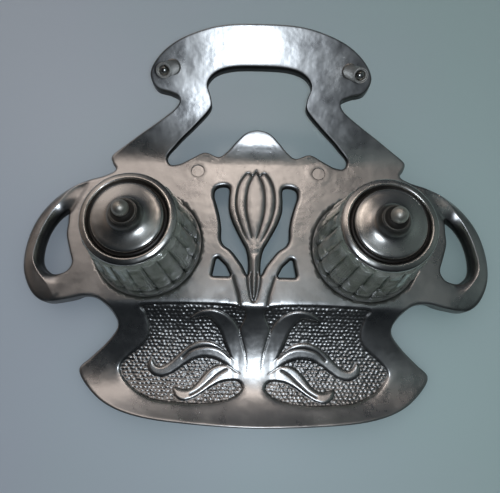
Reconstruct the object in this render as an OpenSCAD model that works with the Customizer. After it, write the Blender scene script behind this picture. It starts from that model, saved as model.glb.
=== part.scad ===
// Desk inkstand: a cast pewter stand with two lobed glass ink wells,
// lift-off lids, a pen trough in front and a pen rest behind.
// The origin lies on the table, under the middle of the stand.
// +X runs to the right handle, +Y to the pen rest and +Z up.

/* [Stand] */
// Width across the two handles
stand_w = 294; // [276:1:310]
// Depth from the trough's lip to the top of the pen rest
stand_d = 232; // [222:1:244]
// Thickness of the cast plate
plate_t = 4; // [3:0.1:5]
// Thickness of the handle bars
handle_t = 9.5; // [7:0.5:12]
// Slope of the pen rest's panel, in degrees
panel_angle = 40; // [30:1:46]
// Radius of the bend between the deck and the panel
bend_r = 15; // [8:1:20]

/* [Pen trough] */
// Depth of the trough below the deck
trough_depth = 12; // [9:0.5:14]
// Drop of the front lip below the deck
lip_drop = 1; // [0:0.5:3]
// Radius of the crest where the deck turns down into the trough
crest_r = 6; // [5.5:0.5:9]
// Depth of the stippled ground below the leaves
ground_depth = 1.2; // [0.6:0.1:1.8]

/* [Ink wells] */
// Distance between the two well centres
well_spacing = 138.6; // [134:0.2:144]
// Distance of the well centres behind the crest
well_back = 36.5; // [36:0.5:42]
// Diameter of a glass well over its lobes, at its foot
well_d = 67.6; // [62:0.2:70]
// Diameter of a glass well at its shoulder
shoulder_d = 55; // [53:0.5:60]
// Height of a glass well
well_h = 49; // [40:0.5:60]
// Number of lobes round a glass well
lobes = 20; // [16:1:24]
// Radius of a lobe's rounded front
lobe_r = 8; // [7:0.5:12]
// Thickness of the glass wall
glass_t = 4.5; // [3.5:0.1:6]
// Thickness of the glass floor
glass_floor = 6; // [4:0.5:9]
// Diameter of the glass mouth
mouth_d = 35; // [31:0.5:36]
// Depth of the round seat in the deck
seat_depth = 1; // [0.6:0.1:1.5]
// Clearance round a well in its seat
seat_gap = 0.4; // [0.3:0.1:1]

/* [Lids] */
// Diameter of a lid over its rolled rim
lid_d = 52; // [48:0.5:54]
// Diameter of the dome inside the rim
dome_d = 38.6; // [37:0.2:40]
// Height of the dome above the rim's underside
dome_h = 12.2; // [10:0.2:16]
// Thickness of the lid's dome
lid_t = 1.4; // [1:0.1:2]
// Radius of the rolled rim's section
rim_r = 1.5; // [1:0.1:2]
// Depth of the sleeve below the rim
sleeve_depth = 6; // [4:0.5:10]
// Wall of the sleeve
sleeve_t = 1; // [0.8:0.1:1.5]
// Clearance of the sleeve in the glass mouth
sleeve_gap = 0.4; // [0.3:0.1:0.8]
// Diameter of the ball knob
knob_d = 8.6; // [7:0.2:11]
// Height of the ball's centre above the dome's flat top
knob_rise = 4.9; // [4.6:0.1:8]
// Diameter of the knob's flange
flange_d = 13.8; // [11:0.2:15]
// Diameter of the knob's threaded shank
shank_d = 3; // [2.5:0.1:4]

/* [Pen pegs] */
// Distance between the two pegs
peg_spacing = 109; // [105:0.5:113]
// Distance of the peg roots in from the top of the pen rest
peg_inset = 19.5; // [17.5:0.5:21]
// Length of a peg
peg_l = 34; // [20:0.5:45]
// Diameter of a peg
peg_d = 8.4; // [7.4:0.2:10]
// Diameter of the screw through a peg
screw_d = 2.8; // [2:0.1:3.2]

/* [Feet] */
// Gap between the trough and the table
front_foot_h = 2; // [1.5:0.5:6]
// Diameter of the front feet
front_foot_d = 13; // [8:0.5:18]
// Diameter of the rear feet
rear_foot_d = 15; // [12:0.5:20]
// Diameter of the spigots that rivet the rear feet to the deck
spigot_d = 8; // [5:0.5:9]

/* [Hidden] */

// Clearance of a screw in a through hole, and of a nut on its thread
hole_gap = 0.2;
thread_gap = 0.05;
// Height of a nut, as a share of its thread's diameter
nut_h = 0.8;
// Overshoot of a cut past the face that it opens
cut = 1;

// The plan is drawn at this size, with the crest of the trough at y = 0,
// and is then stretched to the stand's width and depth.
drawn_w = 294;
drawn_d = 232;
function across(x) = x * stand_w / drawn_w;
function along(y) = y * stand_d / drawn_d;
function stretched(points) = [for (p = points) [across(p[0]), along(p[1])]];

// Right half of the outer edge, from the top of the pen rest to the lip
edge_points = [
    [0, 160], [20, 159.5], [36, 157], [52, 152], [63.5, 145], [69, 137.5],
    [65.5, 131], [57, 129], [51.5, 126.5], [54, 122], [65, 115.5], [82, 106.5],
    [97, 97.5], [97, 91.5], [94.5, 86.5], [102, 82], [118.5, 76.5], [132, 66.5],
    [142, 52], [146.6, 35], [146, 18], [139, 4], [129, -2], [117, -0.5],
    [106, 2], [96.5, 0.5], [88, -7], [85, -15], [91, -24], [101, -34],
    [107.5, -41], [102.5, -50], [90, -60], [72, -66.5], [46, -70], [0, -72]
];
// Right half of the arch's opening, from its top to the bump below it
arch_points = [
    [0, 141.5], [16.5, 141], [27.3, 138.5], [32.6, 133.5], [30.6, 127], [31.1, 122],
    [40.6, 114], [52.7, 105], [59.8, 97.5], [57.8, 91.5], [51.5, 92], [44, 96],
    [35, 100], [26, 97.5], [20.5, 100.5], [14, 106], [7.5, 110.5], [0, 112]
];
// Opening of the right handle
handle_points = [
    [122.5, 58], [129, 53.5], [134.5, 43.5], [136.8, 31], [135.2, 21.5],
    [128, 16], [119.5, 16.5], [115.5, 22.5], [118, 31], [121, 41], [121, 50]
];
// Piercing on the right of the tulip
piercing_points = [
    [17.7, 75.5], [22.2, 76.8], [26.4, 74.8], [27.1, 70], [25.3, 64], [23.3, 57],
    [21.9, 49], [21.6, 41], [19.6, 37], [15.3, 34], [11.1, 29], [7.2, 23.5],
    [4.4, 18], [3.9, 23], [4.3, 28.5], [5.7, 34.5], [8.6, 40], [11.8, 46],
    [15.1, 53], [17.3, 60], [17.7, 67]
];
// Corners of the right triangular piercing, with their radii
triangle_corners = [[24.1, 29.5, 1.2], [26.4, 17, 0.8], [14.6, 17, 0.8], [17.9, 23.5, 8]];
// The casting is uneven: the arch's opening and the tulip sit left of the middle
arch_shift = -0.8;
tulip_shift = -1.2;
// Right stippled ground of the trough, clockwise from the trunk's top
ground_points = [
    [9.5, -2], [9, -16], [6, -28], [5.5, -40], [7.5, -46], [6.5, -51], [12, -56],
    [22, -59], [34, -60], [46.5, -59.5], [58, -58.5], [67, -55.5],
    [76, -50], [82, -43], [82.5, -38], [77.5, -32], [71, -26.5], [66.5, -21],
    [66, -14], [68, -7], [66.5, -1.5]
];
// Leaves on the right of the trunk
upper_leaf_points = [
    [4, -37], [8, -22], [12, -12.5], [18, -7], [26, -4.5], [34, -5.5],
    [40, -9.5], [35, -8.8], [29, -8.3], [24.5, -11.5], [20.5, -17.5],
    [17.5, -25], [13, -34], [8, -42]
];
middle_leaf_points = [
    [5, -36], [14, -32.5], [19.5, -27.5], [25, -24], [31, -23], [36.5, -24],
    [42, -27.5], [47, -32], [52, -36.5], [57, -39], [61, -38], [63.5, -34.5],
    [65, -38], [63, -42], [58, -44], [52.5, -43], [47.5, -40],
    [42, -36], [36, -33], [30, -32], [24, -33], [17.5, -36], [10, -41.5],
    [5, -44]
];
lower_leaf_points = [
    [4, -40], [9, -41], [14.5, -38], [20.5, -37], [26, -39], [30.5, -43.5],
    [34.5, -48.5], [38.5, -51.5], [43, -52], [48.5, -51], [46.5, -55.5],
    [42.5, -57.5], [37.5, -56.5], [32, -53.5], [26, -49.5], [20, -46.5],
    [14, -45.5], [9, -46], [4, -50]
];
// Right half of the tulip's bloom, from its middle point to the stem
bloom_points = [
    [0, 87.5], [2.2, 84.5], [5, 86.2], [8.5, 82], [11, 76], [12, 67.5],
    [11.2, 58.5], [8, 50], [4, 43], [0, 41]
];
// Engraved lines of the right half: between two petals, and on both sides
// of the leaf band that runs from the piercings down to the crest
petal_line = [[0.8, 86], [4.2, 80], [5.8, 70], [5.2, 60], [3.2, 50], [0.8, 43]];
outer_band_line = [[12.6, 16], [10.6, 9], [8.9, 1]];
inner_band_line = [[4.9, 16.5], [4.6, 11], [3.4, 6], [1.8, 2.5]];
line_w = 0.9;
line_depth = 0.5;
// Widths of the raised stem at the bloom and at the crest, and its height
stem_top_w = 1.8;
stem_end_w = 3.6;
relief_h = 0.7;

// Drawn places: the bend's line and the trough's lowest line, the feet,
// and the edge inside which the handles' bars begin
bend_line = 99;
trough_line = 40;
rear_foot_place = [40, 87];
front_foot_line = 62;
bar_line = 104;
bar_front = 4;
bar_depth = 90;

// Steps between two neighbouring points of a smooth curve
curve_steps = 4;
// Steps of an arc in a section, and of a rounded corner
arc_steps = 10;
corner_steps = 4;

// Point at t on a smooth curve from b to c, with a before it and d behind
function curve_at(a, b, c, d, t) =
    b + (c - a) * t / 2
    + (2 * a - 5 * b + 4 * c - d) * t * t / 2
    + (3 * b - a - 3 * c + d) * t * t * t / 2;
// Smooth curve through a list of points, without its last point
function open_curve(p) = [
    for (i = [0 : len(p) - 2], s = [0 : curve_steps - 1])
        curve_at(p[max(i - 1, 0)], p[i], p[i + 1], p[min(i + 2, len(p) - 1)], s / curve_steps)
];
function closed_curve(p) =
    let (n = len(p))
    [
        for (i = [0 : n - 1], s = [0 : curve_steps - 1])
            curve_at(p[(i + n - 1) % n], p[i], p[(i + 1) % n], p[(i + 2) % n], s / curve_steps)
    ];
// Closed outline from its right half, which starts and ends on the middle line
function both_halves(p) =
    let (
        last = len(p) - 1,
        half = concat([[-p[1][0], p[1][1]]], p, [[-p[last - 1][0], p[last - 1][1]]]),
        curve = [
            for (i = [1 : last], s = [0 : curve_steps - 1])
                curve_at(half[i - 1], half[i], half[i + 1], half[i + 2], s / curve_steps)
        ]
    )
    concat(curve, [p[last]], [for (i = [len(curve) - 1 : -1 : 1]) [-curve[i][0], curve[i][1]]]);
// Points of an arc about a centre, from one angle to another
function arc(centre, r, from, to) = [
    for (i = [0 : arc_steps])
        let (a = from + (to - from) * i / arc_steps)
        centre + r * [cos(a), sin(a)]
];
function unit(v) = v / norm(v);
function angle_of(v) = atan2(v[1], v[0]);
// Outline of a polygon whose corners [x, y, r] are rounded
function rounded(corners) = [
    for (i = [0 : len(corners) - 1])
        let (
            n = len(corners),
            p = [corners[i][0], corners[i][1]],
            before = corners[(i + n - 1) % n],
            after = corners[(i + 1) % n],
            u = unit([before[0], before[1]] - p),
            v = unit([after[0], after[1]] - p),
            half = acos(u * v) / 2,
            r = corners[i][2],
            centre = p + unit(u + v) * r / sin(half),
            from = angle_of(p + u * r / tan(half) - centre),
            to = angle_of(p + v * r / tan(half) - centre),
            turn = (to - from + 540) % 360 - 180
        )
        for (s = [0 : corner_steps])
            centre + r * [cos(from + turn * s / corner_steps), sin(from + turn * s / corner_steps)]
];
// Strip of even width along a curve
function strip(points, w) =
    let (
        c = open_curve(points),
        n = len(c),
        side = [
            for (i = [0 : n - 1])
                let (d = unit(c[min(i + 1, n - 1)] - c[max(i - 1, 0)]))
                [-d[1], d[0]] * w / 2
        ]
    )
    concat(c + side, reversed(c - side));
function reversed(p) = [for (i = [len(p) - 1 : -1 : 0]) p[i]];

// Heights, from the table up
deck_z = front_foot_h + plate_t + trough_depth;
seat_z = deck_z - seat_depth;
lid_z = seat_z + well_h;

// Places along the depth, from the crest, and the crest's own place
arch_y = along(edge_points[0][1]);
lip_y = -along(edge_points[len(edge_points) - 1][1]);
bend_y = along(bend_line);
crest_y = (lip_y - arch_y) / 2;
rear_foot_x = across(rear_foot_place[0]);
rear_foot_y = along(rear_foot_place[1]);
front_foot_x = across(front_foot_line);

well_r = well_d / 2;
mouth_r = mouth_d / 2;
lid_r = lid_d / 2;
sleeve_r = mouth_r - sleeve_gap;
// Height inside the lid's rim at which the sleeve ends
sleeve_top = rim_r + 1;
knob_nut_h = shank_d * nut_h;
peg_nut_h = screw_d * nut_h;
// Depth of the recess that holds the screw's head in a peg's tip
peg_recess = 2;

// The trough's section: its lowest line, and the arcs on both sides
trough_y = along(trough_line);
lip_run = lip_y - trough_y;
lip_rise = trough_depth - lip_drop;
front_arc_r = (lip_run * lip_run + lip_rise * lip_rise) / (2 * lip_rise);
front_arc_angle = asin((lip_run + 2) / front_arc_r);
rear_arc_angle = 2 * atan(trough_depth / trough_y);
rear_arc_r = trough_y / sin(rear_arc_angle) - crest_r;
bend_run = bend_r * tan(panel_angle / 2);
panel_run = arch_y - bend_y + 2 * cut;

// Line of the stand's section at a depth below its top face, as [y, z]
function section_line(depth) = concat(
    arc([-trough_y, front_arc_r - trough_depth], front_arc_r + depth, 270 - front_arc_angle, 270),
    arc([-trough_y, rear_arc_r - trough_depth], rear_arc_r + depth, 270, 270 + rear_arc_angle),
    arc([0, -crest_r], crest_r - depth, 90 + rear_arc_angle, 90),
    arc([bend_y - bend_run, bend_r], bend_r + depth, 270, 270 + panel_angle),
    [[bend_y + panel_run, panel_run * tan(panel_angle)]
     + depth * [sin(panel_angle), -cos(panel_angle)]]
);

// Layer of the stand's section between two depths, over the whole width
module section_layer(top, bottom) {
    translate([-stand_w / 2 - cut, 0, 0])
        rotate([90, 0, 90])
            linear_extrude(stand_w + 2 * cut)
                polygon(concat(section_line(top), reversed(section_line(bottom))));
}

// A flat shape made to stand right through the plate
module through() {
    translate([0, 0, -trough_depth - 4 * plate_t])
        linear_extrude(trough_depth + 4 * plate_t + 2 * panel_run)
            children();
}

// The same shape on the right and on the left
module both_sides() {
    children();
    mirror([1, 0, 0]) children();
}

// Moves a shape from the crest's line to its place above the table
module from_crest() {
    translate([0, crest_y, deck_z]) children();
}

module at_well(side, z) {
    translate([side * well_spacing / 2, crest_y + well_back, z]) children();
}

// Moves a shape to a peg's root, with +Z square to the panel's top face
module at_peg(side) {
    y = arch_y - peg_inset;
    from_crest()
        translate([side * peg_spacing / 2, y, (y - bend_y) * tan(panel_angle)])
            rotate([panel_angle, 0, 0])
                children();
}

module at_rear_foot(side) {
    translate([side * rear_foot_x, crest_y + rear_foot_y, 0]) children();
}

// Puts the tulip and its piercings on their own middle line
module at_tulip() {
    translate([across(tulip_shift), 0, 0]) children();
}

// Outline of the stand with all that is cut right through it
module pierced_plan() {
    difference() {
        polygon(both_halves(stretched(edge_points)));
        translate([across(arch_shift), 0])
            polygon(both_halves(stretched(arch_points)));
        both_sides() polygon(closed_curve(stretched(handle_points)));
        at_tulip()
            both_sides() {
                polygon(closed_curve(stretched(piercing_points)));
                polygon(rounded([for (c = triangle_corners) [across(c[0]), along(c[1]), c[2]]]));
            }
    }
}

// Stippled ground between the leaves
module ground_plan() {
    both_sides()
        difference() {
            polygon(closed_curve(stretched(ground_points)));
            polygon(closed_curve(stretched(upper_leaf_points)));
            polygon(closed_curve(stretched(middle_leaf_points)));
            polygon(closed_curve(stretched(lower_leaf_points)));
        }
}

// Thick bars of the handles, which hang below the deck's plate
module handle_bars() {
    translate([0, 0, -handle_t])
        linear_extrude(handle_t - plate_t / 2)
            intersection() {
                pierced_plan();
                both_sides()
                    translate([across(bar_line), -along(bar_front)])
                        square([stand_w, along(bar_depth)]);
            }
}

// Raised bloom and stem of the tulip
module tulip() {
    stem_end_r = stem_end_w / 2;
    stem_end_y = along(4);
    linear_extrude(relief_h) {
        polygon(both_halves(stretched(bloom_points)));
        polygon([
            [-stem_top_w / 2, along(43)], [stem_top_w / 2, along(43)],
            [stem_end_r, stem_end_y], [-stem_end_r, stem_end_y]
        ]);
        translate([0, stem_end_y]) circle(r = stem_end_r, $fn = 32);
    }
}

// Fine grooves between the petals, and along the leaf bands
module engraved_lines() {
    both_sides() {
        translate([0, 0, relief_h - line_depth])
            linear_extrude(line_depth + cut)
                polygon(strip(stretched(petal_line), line_w));
        translate([0, 0, -line_depth])
            linear_extrude(line_depth + relief_h + cut) {
                polygon(strip(stretched(outer_band_line), line_w));
                polygon(strip(stretched(inner_band_line), line_w));
            }
    }
}

// Cast stand: deck, trough, pen rest and handles in one piece
module stand_casting() {
    color("#8c8a88")
        difference() {
            from_crest()
                difference() {
                    union() {
                        intersection() {
                            section_layer(0, plate_t);
                            through() pierced_plan();
                        }
                        handle_bars();
                        at_tulip() tulip();
                    }
                    intersection() {
                        section_layer(-cut, ground_depth);
                        through() ground_plan();
                    }
                    at_tulip() engraved_lines();
                }
            for (side = [-1, 1]) {
                at_well(side, seat_z)
                    cylinder(r = well_r + seat_gap, h = seat_depth + cut, $fn = 96);
                at_peg(side)
                    translate([0, 0, -plate_t - cut])
                        cylinder(d = screw_d + 2 * hole_gap, h = plate_t + 2 * cut, $fn = 32);
                at_rear_foot(side)
                    cylinder(d = spigot_d + 2 * thread_gap, h = deck_z + cut, $fn = 48);
            }
        }
}

// Pressed glass well: a ring of leaning lobes round a hollow, with a flat top
module ink_well() {
    base_r = 1.5;
    shoulder_r = 3;
    top_r = shoulder_d / 2;
    lean = atan((well_r - top_r) / (well_h - shoulder_r));
    hollow_foot_r = well_r - glass_t;
    hollow_top_r = top_r - glass_t;
    hollow_top = well_h - 2 * glass_t;
    color("#b9c4b4", 0.5)
        difference() {
            intersection() {
                rotate_extrude($fn = 96)
                    polygon(concat(
                        [[0, 0]],
                        arc([well_r - base_r, base_r], base_r, 270, 360),
                        arc([top_r - shoulder_r, well_h - shoulder_r], shoulder_r, 0, 90),
                        [[0, well_h]]
                    ));
                union() {
                    cylinder(r1 = well_r - lobe_r, r2 = top_r - lobe_r / 2, h = well_h, $fn = 96);
                    for (i = [0 : lobes - 1])
                        rotate(360 * i / lobes)
                            translate([well_r - lobe_r, 0, 0])
                                rotate([0, -lean, 0])
                                    translate([0, 0, -well_h / 4])
                                        cylinder(r = lobe_r, h = well_h * 1.5, $fn = 48);
                }
            }
            rotate_extrude($fn = 96)
                polygon([
                    [0, glass_floor], [hollow_foot_r - base_r, glass_floor],
                    [hollow_foot_r, glass_floor + base_r], [hollow_top_r, hollow_top],
                    [mouth_r, well_h - glass_t], [mouth_r, well_h + cut], [0, well_h + cut]
                ]);
        }
}

// Cast lid: rolled rim, groove and a dome that swells and then draws in
module lid_shell() {
    dome_r = dome_d / 2;
    top_r = flange_d / 2;
    foot_z = 2 * rim_r;
    groove_r = (lid_r - foot_z + dome_r) / 2;
    hole_r = shank_d / 2 + hole_gap;
    // Shares of the way in and up from the dome's foot to its flat top
    shares = [[0, 0], [0.08, 0.22], [0.25, 0.42], [0.45, 0.55], [0.65, 0.68], [0.85, 0.86], [1, 1]];
    dome = [
        for (s = shares)
            [dome_r + (top_r - dome_r) * s[0], foot_z + (dome_h - foot_z) * s[1]]
    ];
    color("#9a9896")
        rotate_extrude($fn = 96)
            polygon(concat(
                [[sleeve_r, 0]],
                arc([lid_r - rim_r, rim_r], rim_r, 270, 450),
                [[groove_r, rim_r], [dome_r + 0.4, rim_r + 0.4]],
                open_curve(dome),
                [[top_r, dome_h], [hole_r, dome_h], [hole_r, dome_h - lid_t],
                 [top_r - 1, dome_h - lid_t]],
                [for (i = [5 : -1 : 2]) dome[i] - [0.8, 0.8] * lid_t],
                [[sleeve_r - sleeve_t, sleeve_top], [sleeve_r, sleeve_top]]
            ));
}

// Thin sleeve, fixed inside the lid, that drops into the glass mouth
module lid_sleeve() {
    color("#a08a5c")
        difference() {
            translate([0, 0, -sleeve_depth])
                cylinder(r = sleeve_r, h = sleeve_depth + sleeve_top, $fn = 96);
            translate([0, 0, -sleeve_depth - cut])
                cylinder(r = sleeve_r - sleeve_t, h = sleeve_depth + sleeve_top + 2 * cut, $fn = 96);
        }
}

// Turned ball knob with a flange and a threaded shank
module lid_knob() {
    flange_t = 1;
    shank_l = lid_t + knob_nut_h + 0.6;
    color("#a4a2a0")
        union() {
            translate([0, 0, -shank_l]) cylinder(d = shank_d, h = shank_l + flange_t, $fn = 32);
            cylinder(d = flange_d, h = flange_t, $fn = 64);
            cylinder(d1 = knob_d * 0.8, d2 = knob_d * 0.55, h = knob_rise, $fn = 48);
            translate([0, 0, knob_rise]) sphere(d = knob_d, $fn = 48);
        }
}

// Six-sided nut below z = 0, for a thread of diameter d
module hex_nut(d) {
    color("#9c8f6a")
        translate([0, 0, -d * nut_h])
            difference() {
                cylinder(d = d * 2.1, h = d * nut_h, $fn = 6);
                translate([0, 0, -cut])
                    cylinder(d = d + 2 * thread_gap, h = d * nut_h + 2 * cut, $fn = 32);
            }
}

// Hollow peg that carries a pen across the pen rest
module pen_peg() {
    rim_w = 0.8;
    color("#96948f")
        difference() {
            cylinder(d = peg_d, h = peg_l, $fn = 64);
            translate([0, 0, -cut])
                cylinder(d = screw_d + 2 * hole_gap, h = peg_l + 2 * cut, $fn = 32);
            translate([0, 0, peg_l - peg_recess])
                cylinder(d = peg_d - 2 * rim_w, h = peg_recess + cut, $fn = 64);
        }
}

// Long screw from the peg's tip through the panel, with a domed head
module peg_screw() {
    head_d = peg_d - 2.6;
    head_z = peg_l - peg_recess;
    head_h = peg_recess - 0.2;
    head_r = (head_d * head_d / 4 + head_h * head_h) / (2 * head_h);
    tail = plate_t + peg_nut_h + 1;
    color("#b4b2ae")
        union() {
            translate([0, 0, -tail])
                cylinder(d = screw_d, h = tail + head_z + head_h / 2, $fn = 32);
            intersection() {
                translate([0, 0, head_z]) cylinder(d = head_d, h = head_h + cut, $fn = 48);
                translate([0, 0, head_z + head_h - head_r]) sphere(r = head_r, $fn = 64);
            }
        }
}

// Turned rear foot: a bell that stands on the table, with a spigot on top
module rear_foot() {
    foot_h = deck_z - plate_t;
    base_r = rear_foot_d / 2;
    collar_r = spigot_d / 2 + 1.5;
    spigot_z = deck_z - 0.3;
    color("#7d7b78")
        rotate_extrude($fn = 64)
            polygon(concat(
                [[0, 0]],
                arc([base_r - 1, 1], 1, 270, 360),
                [[base_r, 2], [collar_r, foot_h - 3], [collar_r, foot_h],
                 [spigot_d / 2, foot_h], [spigot_d / 2, spigot_z], [0, spigot_z]]
            ));
}

// Low front foot, shaped on top to the underside of the trough
module front_foot(side) {
    color("#7d7b78")
        difference() {
            translate([side * front_foot_x, crest_y - trough_y, 0])
                cylinder(d = front_foot_d, h = front_foot_h + plate_t / 2, $fn = 64);
            from_crest() section_layer(-cut, plate_t);
        }
}

module left_ink_well() { at_well(-1, seat_z) ink_well(); }
module right_ink_well() { at_well(1, seat_z) ink_well(); }
module left_lid_shell() { at_well(-1, lid_z) lid_shell(); }
module right_lid_shell() { at_well(1, lid_z) lid_shell(); }
module left_lid_sleeve() { at_well(-1, lid_z) lid_sleeve(); }
module right_lid_sleeve() { at_well(1, lid_z) lid_sleeve(); }
module left_lid_knob() { at_well(-1, lid_z + dome_h) lid_knob(); }
module right_lid_knob() { at_well(1, lid_z + dome_h) lid_knob(); }
module left_knob_nut() { at_well(-1, lid_z + dome_h - lid_t) hex_nut(shank_d); }
module right_knob_nut() { at_well(1, lid_z + dome_h - lid_t) hex_nut(shank_d); }
module left_pen_peg() { at_peg(-1) pen_peg(); }
module right_pen_peg() { at_peg(1) pen_peg(); }
module left_peg_screw() { at_peg(-1) peg_screw(); }
module right_peg_screw() { at_peg(1) peg_screw(); }
module left_peg_nut() { at_peg(-1) translate([0, 0, -plate_t]) hex_nut(screw_d); }
module right_peg_nut() { at_peg(1) translate([0, 0, -plate_t]) hex_nut(screw_d); }
module left_rear_foot() { at_rear_foot(-1) rear_foot(); }
module right_rear_foot() { at_rear_foot(1) rear_foot(); }
module left_front_foot() { front_foot(-1); }
module right_front_foot() { front_foot(1); }

stand_casting();
left_ink_well();
right_ink_well();
left_lid_shell();
right_lid_shell();
left_lid_sleeve();
right_lid_sleeve();
left_lid_knob();
right_lid_knob();
left_knob_nut();
right_knob_nut();
left_pen_peg();
right_pen_peg();
left_peg_screw();
right_peg_screw();
left_peg_nut();
right_peg_nut();
left_rear_foot();
right_rear_foot();
left_front_foot();
right_front_foot();
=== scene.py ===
# %% [markdown]
# # A cast pewter desk inkstand
#
# The solids of the part are the fixed frame. This script dresses them: the
# casting gets its rounded edges, leaves, tulip and stippled ground as a fine
# mesh, the lids and wells are turned and pressed again with softer forms, and
# every piece gets a procedural material. Sizes are in millimetres until they
# become vertices, and the plan is drawn once for the right half where it can be.

# %% Load the frame
import math
import bpy
import numpy as np
from mathutils import Matrix, Vector, kdtree
from mathutils.geometry import delaunay_2d_cdt


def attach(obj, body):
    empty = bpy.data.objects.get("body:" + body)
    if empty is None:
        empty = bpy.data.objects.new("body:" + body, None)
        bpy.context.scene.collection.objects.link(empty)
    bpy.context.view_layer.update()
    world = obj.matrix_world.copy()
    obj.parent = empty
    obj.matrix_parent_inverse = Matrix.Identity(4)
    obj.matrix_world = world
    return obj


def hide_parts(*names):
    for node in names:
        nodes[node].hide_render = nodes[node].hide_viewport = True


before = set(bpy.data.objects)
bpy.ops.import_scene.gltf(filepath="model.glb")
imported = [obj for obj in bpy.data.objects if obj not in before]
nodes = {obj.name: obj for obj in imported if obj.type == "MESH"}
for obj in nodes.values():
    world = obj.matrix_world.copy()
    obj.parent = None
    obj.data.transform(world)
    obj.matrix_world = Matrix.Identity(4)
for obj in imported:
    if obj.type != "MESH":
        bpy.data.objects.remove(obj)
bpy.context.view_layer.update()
MM = 0.001

# %% [markdown]
# ## Small helpers
# Colours are written as sRGB hex, as a paint chart gives them, and one function
# turns them into the linear light that shaders need. One more function adds
# every node with its settings and links, so a material reads as a list of steps.

# %% Colour, nodes and links


def colour(text):
    """Linear RGBA from an sRGB hex colour such as #c0bdb8."""
    parts = [int(text[i : i + 2], 16) / 255 for i in (1, 3, 5)]
    linear = [c / 12.92 if c <= 0.04045 else ((c + 0.055) / 1.055) ** 2.4 for c in parts]
    return (*linear, 1.0)


def add(tree, kind, settings=None, links=None, stops=()):
    """Adds a node: settings by property or input name, links as {input: output socket},
    and the stops of a colour ramp as (position, hex)."""
    node = tree.nodes.new(kind)
    for name, value in (settings or {}).items():
        if isinstance(name, str) and hasattr(node, name):
            setattr(node, name, value)
        else:
            node.inputs[name].default_value = value
    for name, socket in (links or {}).items():
        tree.links.new(socket, node.inputs[name])
    if stops:
        elements = node.color_ramp.elements
        elements.remove(elements[-1])
        elements[0].position, elements[0].color = stops[0][0], colour(stops[0][1])
        for position, text in stops[1:]:
            elements.new(position).color = colour(text)
    return node


def new_material(name):
    """A material with an empty tree and its output node."""
    material = bpy.data.materials.new(name)
    material.use_nodes = True
    tree = material.node_tree
    tree.nodes.clear()
    return material, tree, add(tree, "ShaderNodeOutputMaterial")


def per_metre(period_mm):
    """Noise scale whose features are about this many millimetres apart."""
    return 1 / (period_mm * MM)


print("mid grey in linear light", round(colour("#808080")[0], 3))

# %% [markdown]
# ## Pewter
# The stand is pewter, a soft grey alloy that is cast and then buffed by hand.
# What gives it away is a broad, soft highlight, a faint mottling from wear, dark
# patina left in the recesses, and pits where it was filed behind the tulip. An
# image could hold all that, but noise in object space needs no unwrapping and
# keeps its size in millimetres. One function makes all the finishes, as they
# differ only in colour, gloss and the length of the waves that buffing leaves.

# %% Pewter material
PATINA = "#2c2927"
MOTTLE_MM, GRAIN_MM, PIT_MM = 22, 1.4, 3.2  # sizes of wear, grain and pits
WAVE_SHARE, GRAIN_DEEP = 0.024, 0.05  # depth of a wave by its length, of grain in mm


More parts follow.
